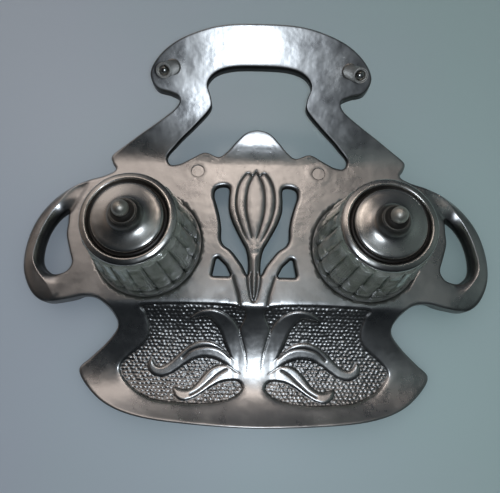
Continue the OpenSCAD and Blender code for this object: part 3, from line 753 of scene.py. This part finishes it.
def in_plan(p):
    """True for each point that lies in the metal."""
    ok = inside(p, loops["edge"])
    for name, line in loops.items():
        if name != "edge":
            ok &= ~inside(p, line)
    return ok


def faces_of(points):
    """Triangles between points that start with those of the walls, which stay edges."""
    rim, start = [], 0
    for line in walls.values():
        rim += [(start + i, start + (i + 1) % len(line)) for i in range(len(line))]
        start += len(line)
    result = delaunay_2d_cdt([Vector(p) for p in points], rim, [], 0, 1e-5)
    verts = np.array([(v.x, v.y) for v in result[0]])
    tri = np.array([f for f in result[2] if len(f) == 3])
    return verts, tri[in_plan(verts[tri].mean(1))]


def inward(name, d):
    """A wall's line moved into the metal by d."""
    line = walls[name]
    return offset(line, d if (winding(line) > 0) == (name == "edge") else -d, True)


def both_sides(line):
    """A line and its mirror image."""
    return [line, mirrored(line)]


def clear(points, gap):
    """The points in the metal and at least a gap from every wall."""
    points = points[in_plan(points)]
    d, _ = nearest(points, sample)
    return points[d >= gap]


print("a honeycomb of 10 by 10 mm has", len(hex_grid((0, 0), (10, 10), 1.9)), "points")

# %% Points for the mesh
LOW, HIGH = (-148, -73), (148, 161)  # the corners of the plan
rim_points = np.vstack(list(walls.values()))
rings = [inward(name, WIDTH[kind[name]] * share)
         for name in names for share in (0.04, 0.15, 0.34, 0.62, 1.0, 1.5)]
rings = np.vstack(rings)
rows = []
for name, (line, _, _) in grooves.items():
    middle = [0 if name.startswith("fold") else TULIP_X, 0]
    for d in (0, 0.28, -0.28, 0.58, -0.58, 1.1, -1.1):
        rows += [side + middle for side in both_sides(offset(even(line, 0.7), d))]
for line in [ground, *leaves]:
    for d in (-1.1, 1.1, -0.55, 0.55, -0.05, 0.35, -0.35, 0.75, -0.75):
        rows += both_sides(offset(even(line, 0.7, True), d, True))
for d in (0, 0.5, -0.5, 1.2, -1.2, 2.2):
    rows += both_sides(offset(even(ridge, 0.9), d))
circle = np.linspace(0, 2 * math.pi, 220, endpoint=False)
for r in (SEAT_R - 0.4, SEAT_R - 0.12, SEAT_R + 0.12, SEAT_R + 0.5):
    rows += both_sides(np.c_[WELL_AT[0] + r * np.cos(circle), WELL_AT[1] + r * np.sin(circle)])
rows = np.vstack(rows)
stipple = hex_grid((-84, -61), (84, -1), 0.56)
stipple = stipple[inside(np.c_[np.abs(stipple[:, 0]), stipple[:, 1]], ground)]
bars = np.vstack(both_sides(hex_grid((103, -4), (148, 80), 1.15)))
coarse = hex_grid(LOW, HIGH, 1.9)
top_points = thinned([(rim_points, 0.0), (clear(rings, 0.05), 0.16), (clear(rows, 0.3), 0.25),
                      (clear(stipple, 0.4), 0.42), (clear(bars, 0.6), 0.7),
                      (clear(coarse, 1.0), 1.05)])
bottom_rings = np.vstack([inward(n, w) for n in names for w in (0.12, 0.5, 1.2)])
bottom_points = thinned([(rim_points, 0.0), (clear(bottom_rings, 0.1), 0.3),
                         (clear(hex_grid(LOW, HIGH, 3.0), 1.0), 1.6)])
print("points on top", len(top_points), "below", len(bottom_points))

# %% [markdown]
# Each mesh becomes an object that rides on its body and hides the solids it
# replaces. Patina, pits and painted shade are stored as attributes of the mesh's
# points, which the materials read, so that no picture has to be wrapped round the piece.

# %% Mesh helpers


def lift(p, z):
    """Plan points and heights over the deck as vertices in the frame, in metres."""
    return np.c_[p[:, 0], p[:, 1] + CREST_Y, z + DECK_Z] * MM


def mesh_object(name, verts, faces, material, body, slot_name, *replaced):
    """A smooth mesh that rides on a body and stands in for the solids it replaces."""
    mesh = bpy.data.meshes.new(name)
    mesh.from_pydata([tuple(v) for v in verts], [], [tuple(f) for f in faces])
    mesh.update()
    mesh.shade_smooth()
    mesh.materials.append(material)
    piece = bpy.data.objects.new(name, mesh)
    bpy.context.scene.collection.objects.link(piece)
    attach(piece, body)
    if replaced:
        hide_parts(*replaced)
    return piece


def attribute(piece, name, values):
    """Stores one number for each point of a mesh."""
    layer = piece.data.attributes.new(name, "FLOAT", "POINT")
    layer.data.foreach_set("value", np.asarray(values, np.float32))


print("a point on the crest, in metres", lift(np.array([(0.0, 0.0)]), np.array([0.0]))[0])

# %% Top face
count = len(rim_points)
top, top_tri = faces_of(top_points)
wall_d, wall_i = nearest(top, sample)
wall_d = np.where(np.arange(len(top)) < count, 0, wall_d)
base_z, cosine = section(top[:, 1])
rise, darkening = relief(top)
drop = edge_drop(top, wall_d, wall_i)
top_z = base_z + rise - drop
# Pits lie behind the tulip, where the casting was filed
pitted = step(76, 92, top[:, 1]) * step(112, 100, top[:, 1]) * step(105, 60, np.abs(top[:, 0]))
# Painted shade: the foot of each edge and a band along every wall are darkened, most of all round
# the openings, where shade falls
darkening = np.maximum(darkening, 0.55 * step(0.75, 1.0, drop / HOLE_DROP) * (drop < 4))
opening = np.array([kind[n] not in ("edge", "foot") for n in names])[owner[wall_i]]
edge_shade, edge_shade_width = np.where(opening, 0.95, 0.6), np.where(opening, 1.0, 0.6)
darkening = np.maximum(darkening, edge_shade * np.exp(-(wall_d / edge_shade_width) ** 2))
print("triangles on top", len(top_tri))

# %% Under face
PLATE_THICK, BAR_MORE = 4, 5.5  # the plate, and how much thicker the handles' bars are
LOW_ROUND, LOW_WIDTH = 0.5, 0.8  # rounding of the lower edges
low, low_tri = faces_of(bottom_points)
low_d, _ = nearest(low, sample)
low_d = np.where(np.arange(len(low)) < count, 0, low_d)
low_base, low_cos = section(low[:, 1])
bar = (step(103, 112, np.abs(low[:, 0])) * step(-6, 0, low[:, 1])
       * step(90, 80, low[:, 1]))
thick = PLATE_THICK + BAR_MORE * bar
low_z = low_base - thick / low_cos + LOW_ROUND * fall(1 - low_d / LOW_WIDTH)
print("triangles below", len(low_tri))

# %% [markdown]
# The two faces share the points of the walls, and a strip of faces between them
# closes each wall.

# %% Join the casting
shift = len(top)
verts = np.vstack([lift(top, top_z), lift(low, low_z)])
faces = [tuple(f) for f in top_tri] + [(c + shift, b + shift, a + shift) for a, b, c in low_tri]
start = 0
for name, line in walls.items():
    outward = (winding(line) > 0) == (name == "edge")
    for i in range(len(line)):
        a, b = start + i, start + (i + 1) % len(line)
        if outward:
            faces.append((b, a, a + shift, b + shift))
        else:
            faces.append((a, b, b + shift, a + shift))
    start += len(line)
casting = mesh_object("cast_stand", verts, faces, casting_metal, "stand", "pewter_stand",
                      "stand_casting")
# Painted shade on the walls: their lower points get 0.85, and the rest of the underside gets 0.45
attribute(casting, "patina", np.r_[darkening, np.where(np.arange(len(low)) < count, 0.85, 0.45)])
attribute(casting, "pits", np.r_[pitted, np.zeros(len(low))])
lowest = float((top_z[:count] - low_z[:count]).min())
print("casting faces", len(faces), "lowest wall", round(lowest, 2))

# %% [markdown]
# Light runs over the panel of the pen rest as over a hollow one: its slope seems
# to grow from the bend to the arch. The solid is flat there, because one view
# can't tell a hollow by its outline, so the mesh stays flat too and only its
# normals lean. A bump would be the other way to do this, but it suits fine
# grain, not a bend that runs evenly over 50 mm.

# %% Hollow of the panel
slope = np.degrees(np.arccos(cosine)) * (top[:, 1] > 0)
# Slope that the light should see, in degrees, along y: first the struts, then the tongue
struts = np.interp(top[:, 1], [91, 99, 106.5, 119, 130, 150, 160], [0, 12, 22, 31, 34, 38.5, 40])
tongue = np.interp(top[:, 1], [91, 95, 98.5, 103, 107.5, 113], [0, 7, 15, 21.5, 28.5, 38])
hollow = np.where(np.abs(top[:, 0]) < 26, tongue, struts)
ease = np.radians(np.where(top[:, 1] > 91, slope - hollow, 0))
# The panel is also twisted a little, most on the left strut
twist = 0.022 * step(100, 118, top[:, 1])
left_strut = (step(112, 120, top[:, 1]) * step(140, 130, top[:, 1])
              * step(-25, -32, top[:, 0]))
twist += 0.028 * left_strut
normals = np.empty(len(casting.data.vertices) * 3, np.float32)
casting.data.vertices.foreach_get("normal", normals)
normals = normals.reshape(-1, 3)
n = normals[: len(top)].copy()
normals[: len(top), 0] = n[:, 0] + twist
normals[: len(top), 1] = n[:, 1] * np.cos(ease) + n[:, 2] * np.sin(ease)
normals[: len(top), 2] = n[:, 2] * np.cos(ease) - n[:, 1] * np.sin(ease)
normals /= np.linalg.norm(normals, axis=1)[:, None]
casting.data.normals_split_custom_set_from_vertices([tuple(v) for v in normals])
print("most lean of a normal, in degrees", round(float(np.degrees(np.abs(ease)).max()), 1))

# %% [markdown]
# ## Turned pieces
# Lids, knobs and pegs were turned on a lathe, so they are made in the same way:
# a profile of (radius, height) points goes round the z axis. A screw modifier
# would do it too, but here the radius may wobble a little, as spun metal does.

# %% Lathe
SHARP_DEG = 50  # two faces that meet at more than this keep a sharp edge


def lathe(name, profile, place, material, body, slot_name, *replaced,
          steps=128, ages=None, uneven=0.0):
    """Turns a closed profile round the z axis; points on the axis close it."""
    p = np.array(profile, float)
    angle = np.linspace(0, 2 * math.pi, steps, endpoint=False)
    verts, rows_at = [], []
    for r, z in p:
        rows_at.append(len(verts))
        if r < 1e-6:
            verts.append((0, 0, z))
        else:
            wobble = 1 + uneven * (np.sin(3 * angle + z) + 0.6 * np.sin(7 * angle + 2 * z)) / r
            verts += [(r * k * math.cos(t), r * k * math.sin(t), z)
                      for t, k in zip(angle, wobble)]
    faces = []
    for k in range(len(p)):
        a, b = rows_at[k], rows_at[(k + 1) % len(p)]
        ra, rb = p[k][0] > 1e-6, p[(k + 1) % len(p)][0] > 1e-6
        for i in range(steps):
            j = (i + 1) % steps
            if ra and rb:
                faces.append((a + i, a + j, b + j, b + i))
            elif ra:
                faces.append((a + i, a + j, b))
            elif rb:
                faces.append((a, b + j, b + i))
    points = [place @ Vector(v) * MM for v in verts]
    piece = mesh_object(name, points, faces, material, body, slot_name, *replaced)
    piece.data.set_sharp_from_angle(angle=math.radians(SHARP_DEG))
    if ages is not None:
        per_row = np.concatenate([[ages(r, z)] * (1 if r < 1e-6 else steps) for r, z in p])
        attribute(piece, "patina", per_row)
    return piece


def bow(centre, r, start, end, steps=10):
    """Points of an arc, with angles in degrees."""
    return [(centre[0] + r * math.cos(math.radians(start + (end - start) * i / steps)),
             centre[1] + r * math.sin(math.radians(start + (end - start) * i / steps)))
            for i in range(steps + 1)]


print("points on a quarter arc", len(bow((0, 0), 1, 0, 90)))

# %% [markdown]
# ## Lids and knobs
# From the rim inward, a lid has a rolled edge, a deep groove that holds dirt, a
# broad dome that draws in to a neck, and the knob's small flange. The knob is a
# ball on a neck, with its peg reaching down through the lid.

# %% Lid and knob profiles
LID_Z, LID_RISE = 66.0, 12.2  # the lid's underside over the table, and its height
SIDES = {"left": -1, "right": 1}
well_place = {side: Matrix.Translation((k * WELL_AT[0], CREST_Y + WELL_AT[1], 0))
              for side, k in SIDES.items()}
lid_top = smooth([
    (19.2, 2.2), (19.25, 3.3), (19.0, 3.9), (18.3, 4.35), (17.2, 4.65), (15.6, 4.95),
    (13.8, 5.35), (12.2, 5.8), (10.8, 6.35), (9.6, 7.1), (8.7, 8.1), (8.0, 9.4),
    (7.5, 10.8), (7.2, 12.0)])
flange = smooth([
    (25.95, 1.3), (25.7, 1.9), (25.0, 2.45), (24.0, 2.85), (23.0, 3.1), (22.3, 3.0),
    (21.8, 2.4), (21.4, 1.5), (20.8, 0.95), (20.1, 0.85), (19.5, 1.1), (19.25, 1.6)])
lid_profile = (
    [(16.3, 0.25), (17.1, 0.05)] + bow((24.85, 1.2), 1.1, 270, 360, 7)
    + [tuple(v) for v in flange] + [tuple(v) for v in lid_top]
    + [(2.0, 12.1), (2.0, 10.9), (5.4, 10.8), (6.4, 9.0), (7.4, 6.9), (9.2, 5.6), (12.0, 4.6),
       (14.8, 4.0), (16.2, 3.2), (16.3, 2.0)])
ball = bow((0, 4.9), 4.3, -50, 90, 18)
knob_profile = ([(0, -4.2), (1.5, -4.2), (1.5, 0.0), (6.55, 0.0)]
                + bow((6.45, 0.5), 0.42, -90, 90, 6)
                + [(5.9, 0.75), (4.8, 0.7), (3.7, 0.9), (2.95, 1.35)] + ball)
print("lid profile", len(lid_profile), "points, knob profile", len(knob_profile))

# %% Turn the lids and knobs


def lid_age(r, z):
    """Patina of a lid: in its groove, round its neck and underneath."""
    groove = 0.97 * math.exp(-(((r - 20.4) / 1.4) ** 4)) * (z < 2.5)
    neck = 0.8 * math.exp(-(((r - 7.6) / 1.7) ** 2))
    return max(groove, neck, 0.3 if z < 0.6 and r < 24 else 0)


def knob_age(r, z):
    """Patina of a knob: its neck is darkest, its ball is rubbed clean."""
    if z < 1.6 and r < 6.3:
        return 0.95
    return 0.7 if z < 3 else 0.0


for side in SIDES:
    at = well_place[side] @ Matrix.Translation((0, 0, LID_Z))
    lathe(f"{side}_lid", lid_profile, at, lid_metal, f"{side}_lid", "pewter_lid",
          f"{side}_lid_shell", ages=lid_age, uneven=0.02)
    at = well_place[side] @ Matrix.Translation((0, 0, LID_Z + LID_RISE))
    lathe(f"{side}_knob", knob_profile, at, knob_metal, f"{side}_lid", "pewter_lid",
          f"{side}_lid_knob", steps=64, uneven=0.04, ages=knob_age)
print("top of the knobs", LID_Z + LID_RISE + max(z for _, z in knob_profile), "mm")

# %% [markdown]
# ## Pen pegs
# Each peg is a tube that stands square on the panel. It has a thin bright rim
# round a dark recess, a soft solder ring at its root, and the screw's domed head
# deep inside, which is the solid's own.

# %% Pegs
PEG_X, PEG_IN = 54.5, 19.5  # a peg's place: from the middle, and in from the back
peg_profile = ([(1.6, 0.1), (4.7, 0.1)] + bow((4.2, 0.5), 0.5, -50, 60, 4)
               + [(4.15, 1.1), (4.1, 6.0), (4.12, 20.0)]
               + bow((4.0, 33.8), 0.2, 0, 100, 5) + bow((3.6, 33.8), 0.2, 80, 180, 5)
               + [(3.4, 32.0), (1.6, 32.0)])


def peg_age(r, z):
    """Patina of a peg: in its recess and at its root."""
    return 0.5 if (r < 3.0 and z > 31) else 0.45 * math.exp(-z / 1.2)


root_y = BACK_END - PEG_IN
root_z = DECK_Z + (root_y - PANEL_Y) * math.tan(PANEL_LEAN)
for side, k in SIDES.items():
    at = (Matrix.Translation((k * PEG_X, root_y + CREST_Y, root_z))
          @ Matrix.Rotation(PANEL_LEAN, 4, "X"))
    lathe(f"{side}_peg", peg_profile, at, peg_metal, "stand", "pewter_peg", f"{side}_pen_peg",
          steps=64, ages=peg_age)
print("pegs stand", round(root_z, 2), "mm over the table")

# %% [markdown]
# ## Pressed glass wells
# Twenty upright lobes lean in to the shoulder, where each ends in a round arc.
# Halfway down each lobe has a round tip, as if an upper leaf lay over a lower
# one, and near the foot a row of fuller toes. Every third lobe is reeded with
# fine upright lines, as the mould left them. A formula for the radius gives all
# of it at once, which is easier to keep even than twenty copies of a lobe.

# %% Form of the glass
LOBES = 20
WALL_H, FOOT_RADIUS, SHOULDER_RADIUS = 46, 33.8, 27.5  # the plain wall under the lobes
VALLEY_DEEP, REED_DEEP, TOE_DEEP, TIP_DEEP = 1.9, 0.26, 0.5, 0.75
TIP_Z, TIP_RISE = 19, 4.5  # a tip's lowest point, and how far its sides rise
TOE_Z, NECK_Z = 3.2, 7.2  # the toes' fullest line, and the groove over them
WALL_IN = 0.3  # keeps the lobes inside the solid well's reach


def lobe_phase(angle):
    """Where an angle lies across its lobe, from -0.5 to 0.5."""
    return (angle * LOBES / (2 * math.pi)) % 1.0 - 0.5


def over_tip(angle, z):
    """Height over the curved tip in the middle of a lobe."""
    return z - (TIP_Z + TIP_RISE * (2 * lobe_phase(angle)) ** 2)


def well_radius(angle, z):
    """Outer radius of the lobed wall at an angle and a height over the seat."""
    t = np.clip(z / WALL_H, 0, 1)
    lobe_r = FOOT_RADIUS + (SHOULDER_RADIUS - FOOT_RADIUS) * t
    valley = VALLEY_DEEP * (1 - 0.25 * t)
    phase = lobe_phase(angle)
    arc = np.sqrt(np.maximum(1 - (2 * phase) ** 2 * 0.96, 0))
    toes = TOE_DEEP * np.exp(-((z - TOE_Z) / 1.8) ** 2)
    toes -= TOE_DEEP * np.exp(-((z - NECK_Z) / 1.1) ** 2)
    reeded = (np.floor(angle * LOBES / (2 * math.pi)) % 3 == 0)
    reeds = REED_DEEP * np.cos(phase * 2 * math.pi * 7) * reeded
    reeds *= step(4, 9, z) * step(44, 36, z)
    tip = over_tip(angle, z)
    scale = TIP_DEEP * step(-0.5, 0.5, tip) * np.exp(-np.maximum(tip, 0) / 9)
    return lobe_r - valley * (1 - arc) + reeds + toes + scale - WALL_IN


def well_painted_shade(angle, z):
    """Painted shade of a point of the outer wall, from 0 to 1: in the grooves between lobes, under
    each tip and at the neck.
    """
    tip = over_tip(angle, z)
    return np.clip((2 * np.abs(lobe_phase(angle))) ** 5
                   + 0.85 * np.exp(-(tip + 0.7) ** 2)
                   + 0.7 * np.exp(-((z - NECK_Z) / 1.2) ** 2), 0, 1)


print("radius at the foot, middle and shoulder",
      well_radius(np.full(3, 0.5 * 2 * math.pi / LOBES), np.array([3.0, 23.0, 44.0])).round(2))

# %% [markdown]
# The well is rings of points from the foot up the outside, over the shoulder and
# the rim, and down the inside to the floor. The rings lie closer where the form
# changes quickly.

# %% Make the wells
HOLLOW_FLOOR = 6.0  # thickness of the glass under the ink


def make_well(side):
    """One well with its outside, rim and hollow inside."""
    steps = LOBES * 14
    angle = np.linspace(0, 2 * math.pi, steps, endpoint=False)
    # Each lobe's top is an arc: highest in its middle
    lobe_top = 45.2 - 2.6 * (2 * lobe_phase(angle)) ** 2
    rings_out = [(np.full(steps, 31.2), np.full(steps, 0.0))]
    for r_in, z in ((0.9, 0.05), (0.25, 0.6), (0.0, 1.5)):
        rings_out.append((well_radius(angle, np.full(steps, z)) - r_in, np.full(steps, z)))
    shares = [np.linspace(0.02, 0.2, 9), np.linspace(0.24, 0.6, 18), np.linspace(0.66, 1.0, 7)]
    for s in np.concatenate(shares):
        z = 1.5 + (lobe_top - 1.5) * s
        rings_out.append((well_radius(angle, z), z))
    # Painted shade of the outer rings, kept in the "thick" attribute
    groove = np.concatenate([well_painted_shade(angle, z) for _, z in rings_out])
    edge_r, edge_z = rings_out[-1]
    for s, up in ((0.25, 0.75), (0.6, 1.0)):
        rings_out.append((edge_r + (24.6 - edge_r) * s, edge_z + (46.2 - edge_z) * up))
    for r, z in ((24.2, 46.4), (23.4, 47.2), (22.9, 48.3), (22.2, 48.9), (21.6, 49.0),
                 (18.2, 49.0), (17.6, 48.6), (17.5, 44.5), (19.5, 43.0), (23.0, 40.0),
                 (25.4, 28.0), (28.0, 14.0), (29.2, 7.6), (28.4, 6.3), (27.0, HOLLOW_FLOOR)):
        rings_out.append((np.full(steps, r), np.full(steps, z)))
    verts, faces = [], []
    for r, z in rings_out:
        verts += [(a * math.cos(t), a * math.sin(t), b) for a, b, t in zip(r, z, angle)]
    rows_count = len(rings_out)
    for k in range(rows_count - 1):
        for i in range(steps):
            j = (i + 1) % steps
            a, b = k * steps, (k + 1) * steps
            faces.append((a + i, a + j, b + j, b + i))
    foot, floor_mid = len(verts), len(verts) + 1
    verts += [(0, 0, 0.0), (0, 0, HOLLOW_FLOOR)]
    last = (rows_count - 1) * steps
    for i in range(steps):
        j = (i + 1) % steps
        faces += [(foot, j, i), (last + i, last + j, floor_mid)]
    at = well_place[side] @ Matrix.Translation((0, 0, DECK_Z - SEAT_DEEP))
    piece = mesh_object(f"{side}_well_glass", [at @ Vector(v) * MM for v in verts], faces, glass,
                        f"{side}_well", "well_glass", f"{side}_ink_well")
    piece.data.set_sharp_from_angle(angle=math.radians(38))
    # Painted shade: the outer rings as computed, every other point 0.15
    attribute(piece, "thick", np.r_[groove, np.full(len(verts) - len(groove), 0.15)])
    return piece


for side in SIDES:
    print("well faces", len(make_well(side).data.polygons))

# %% [markdown]
# ## Pieces that keep their solid
# Sleeves, nuts, screws and feet are plain turned forms that hardly show. Their
# solids are right as they are, and only get their metals.

# %% Dress the kept nodes
DECK_METAL_Z = 0.0165  # faces of a rear foot over this height, in metres, lie in the deck


def dress(material, *wanted):
    """Gives solids of the frame a material."""
    for name in wanted:
        mesh = nodes[name].data
        mesh.materials.clear()
        mesh.materials.append(material)
    print("dressed in", material.name, *wanted)


for side in SIDES:
    dress(brass, f"{side}_lid_sleeve", f"{side}_knob_nut", f"{side}_peg_nut")
    dress(steel, f"{side}_peg_screw")
    dress(foot_metal, f"{side}_rear_foot", f"{side}_front_foot")
    # The rivet's head was filed flush with the deck, and shows the deck's metal
    foot = nodes[f"{side}_rear_foot"].data
    foot.materials.append(casting_metal)
    for face in foot.polygons:
        face.material_index = int(face.center.z > DECK_METAL_Z)

# %% [markdown]
# ## Table top
# The table is a pale satin laminate: a soft, cloudy grey-blue with a faint sheen
# and a gentle shadow under the stand. Its run to green on the right is painted
# light, the cool light that falls from that side. One large face is enough.

# %% Floor
floor_mesh = bpy.data.meshes.new("table_top")
reach = 1.6  # half width in metres, so that the horizon stays far away
corners = [(-reach, -reach, 0), (reach, -reach, 0), (reach, reach, 0), (-reach, reach, 0)]
floor_mesh.from_pydata(corners, [], [(0, 1, 2, 3)])
floor = bpy.data.objects.new("table_top", floor_mesh)
bpy.context.scene.collection.objects.link(floor)
table, tree, output = new_material("pale_satin_laminate")
place = add(tree, "ShaderNodeTexCoord").outputs["Object"]
cloud = add(tree, "ShaderNodeTexNoise", {"Scale": per_metre(90), "Detail": 4.0},
            {"Vector": place}).outputs["Fac"]
# Painted light: the tint runs to green on the right, where cool light falls from that side
across = add(tree, "ShaderNodeSeparateXYZ", links={"Vector": place}).outputs["X"]
tone = add(tree, "ShaderNodeMath", {"operation": "MULTIPLY_ADD", 1: 2.6, 2: 0.25},
           {0: across}).outputs[0]
tone = add(tree, "ShaderNodeMath", {"operation": "MULTIPLY_ADD", 1: 0.5},
           {0: cloud, 2: tone}).outputs[0]
base = add(tree, "ShaderNodeValToRGB", links={"Fac": tone},
           stops=[(0.1, "#d0d8e2"), (0.9, "#c8dfdd")]).outputs["Color"]
shader = add(tree, "ShaderNodeBsdfPrincipled", {"Roughness": 0.36, "Specular IOR Level": 1.0},
             {"Base Color": base})
tree.links.new(shader.outputs[0], output.inputs["Surface"])
floor_mesh.materials.append(table)
print("table top", 2 * reach, "m wide")

# %% [markdown]
# ## World
# A dark, polished object is drawn by what it reflects. The room is a plain soft
# light, and reflections alone also see a few round patches of light, as a window
# and lit walls would give. Each patch is the power of a cosine, so it has no edge.
# The camera sees a plain pale backdrop.

# %% World
world = bpy.data.worlds.new("studio")
bpy.context.scene.world = world
world.use_nodes = True
tree = world.node_tree
tree.nodes.clear()
direction = add(tree, "ShaderNodeTexCoord").outputs["Generated"]


def glow(toward, power, strength, text):
    """A soft patch of light round one direction."""
    axis = Vector(toward).normalized()
    facing = add(tree, "ShaderNodeVectorMath", {"operation": "DOT_PRODUCT", 1: tuple(axis)},
                 {0: direction}).outputs["Value"]
    above = add(tree, "ShaderNodeMath", {"operation": "MAXIMUM", 1: 0.0}, {0: facing}).outputs[0]
    shaped = add(tree, "ShaderNodeMath", {"operation": "POWER", 1: power}, {0: above}).outputs[0]
    return add(tree, "ShaderNodeMix", {"data_type": "RGBA", "blend_type": "MIX", "A": (0, 0, 0, 1),
                                       "B": tuple(c * strength for c in colour(text)[:3]) + (1,)},
               {"Factor": shaped}).outputs["Result"]


patches = [  # direction, tightness, strength and colour
    ((-0.01, 0.425, 0.905), 220, 4.9, "#fff0e6"),  # the gleam on the arch
    ((0.15, 0.43, 0.89), 150, 0.3, "#fff0e6"),  # its tail on the right
    ((-0.33, 0.42, 0.845), 110, 1.5, "#ffeee4"),  # warm light on the left strut
    ((-0.5, 0.62, 0.6), 16, 0.72, "#f6ebe6"),  # a lit wall at the back left
    ((0.1, 0.08, 0.99), 40, 0.17, "#d5e4e6"),  # the ceiling, on the flat deck
    ((-0.95, 0.2, 0.3), 12, 0.2, "#f2dccc"),  # a warm wall on the left
    ((0, 0.8, 0.6), 6, 0.07, "#dbe6f4"),  # the far wall
    ((0.22, 0.12, 0.97), 80, 0.2, "#cfe8e6"),  # a cool spot on the ceiling
    ((0.85, 0.1, 0.5), 8, 0.2, "#cfe6e4")]  # a cool wall on the right
DARK_ROOM = "#14191e"  # what is left between the patches
SUM = {"data_type": "RGBA", "blend_type": "ADD", "Factor": 1.0}
light = glow(*patches[0])
for patch in patches[1:]:
    light = add(tree, "ShaderNodeMix", SUM, {"A": light, "B": glow(*patch)}).outputs["Result"]
metal_light = add(tree, "ShaderNodeMix", {**SUM, "B": colour(DARK_ROOM)},
                  {"A": light}).outputs["Result"]
seen = add(tree, "ShaderNodeBackground", {"Color": colour("#b9c3ca"), "Strength": 1.0})
soft = add(tree, "ShaderNodeBackground", {"Color": colour("#e8eef2"), "Strength": 0.38})
lit = add(tree, "ShaderNodeBackground", {"Strength": 1.0}, {"Color": metal_light})
path = add(tree, "ShaderNodeLightPath")
# Only reflections see the patches. Rays that came through the glass see the soft light.
through = add(tree, "ShaderNodeMath", {"operation": "SUBTRACT", 0: 1.0},
              {1: path.outputs["Is Transmission Ray"]}).outputs[0]
reflected = add(tree, "ShaderNodeMath", {"operation": "MULTIPLY"},
                {0: through, 1: path.outputs["Is Glossy Ray"]}).outputs[0]
room = add(tree, "ShaderNodeMixShader",
           links={0: reflected, 1: soft.outputs[0], 2: lit.outputs[0]})
mixed = add(tree, "ShaderNodeMixShader",
            links={0: path.outputs["Is Camera Ray"], 1: room.outputs[0], 2: seen.outputs[0]})
world_output = add(tree, "ShaderNodeOutputWorld")
tree.links.new(mixed.outputs[0], world_output.inputs["Surface"])
print("patches of light", len(patches))

# %% [markdown]
# ## Camera and lamp
# The camera looks down from a little in front, near enough that the wells lean
# apart. Its place and angles were fitted to the outline of the stand, the lids
# and the wells. One small lamp beside it gives the highlight in the trough.

# %% Camera
CAMERA = Vector((-5.26, -82.9, 294.8))
TILT, ROLL, YAW = (math.radians(a) for a in (15.14, 2.17, -0.76))
FOCAL_PIXELS, IMAGE_WIDTH = 452.97, 500
forward = Vector((0, math.sin(TILT), -math.cos(TILT)))
up = Vector((0, math.cos(TILT), math.sin(TILT)))
right = Vector((1, 0, 0))
rolled_right = math.cos(ROLL) * right + math.sin(ROLL) * up
rolled_up = -math.sin(ROLL) * right + math.cos(ROLL) * up
axes = Matrix((rolled_right, rolled_up, -forward)).transposed()
camera_data = bpy.data.cameras.new("camera")
camera_data.sensor_fit = "HORIZONTAL"
camera_data.sensor_width = 36
camera_data.lens = FOCAL_PIXELS / IMAGE_WIDTH * 36
camera_data.clip_start = 0.01
camera = bpy.data.objects.new("camera", camera_data)
turned = Matrix.Rotation(YAW, 4, "Z") @ axes.to_4x4()
camera.matrix_world = Matrix.Translation(CAMERA * MM) @ turned
bpy.context.scene.collection.objects.link(camera)
bpy.context.scene.camera = camera
print("lens", round(camera_data.lens, 2), "mm")

# %% Lamp


def lamp(name, at, toward, size, watts, text):
    """A round lamp at a point, aimed at another, in millimetres."""
    data = bpy.data.lights.new(name, "AREA")
    data.shape = "DISK"
    data.size = size * MM
    data.energy = watts
    data.color = colour(text)[:3]
    piece = bpy.data.objects.new(name, data)
    aim = (Vector(toward) - Vector(at)).to_track_quat("-Z", "Y")
    piece.matrix_world = Matrix.Translation(Vector(at) * MM) @ aim.to_matrix().to_4x4()
    bpy.context.scene.collection.objects.link(piece)


lamp("camera_lamp", (4, -84, 298), (0, 0, 10), 14, 0.18, "#e6f2ff")
print("lamps", len(bpy.data.lights))

# %% [markdown]
# ## Close
# The colours are shown with the Standard view transform, and the scene is brought up to date.

# %% Finish
bpy.context.scene.view_settings.view_transform = "Standard"
bpy.context.view_layer.update()
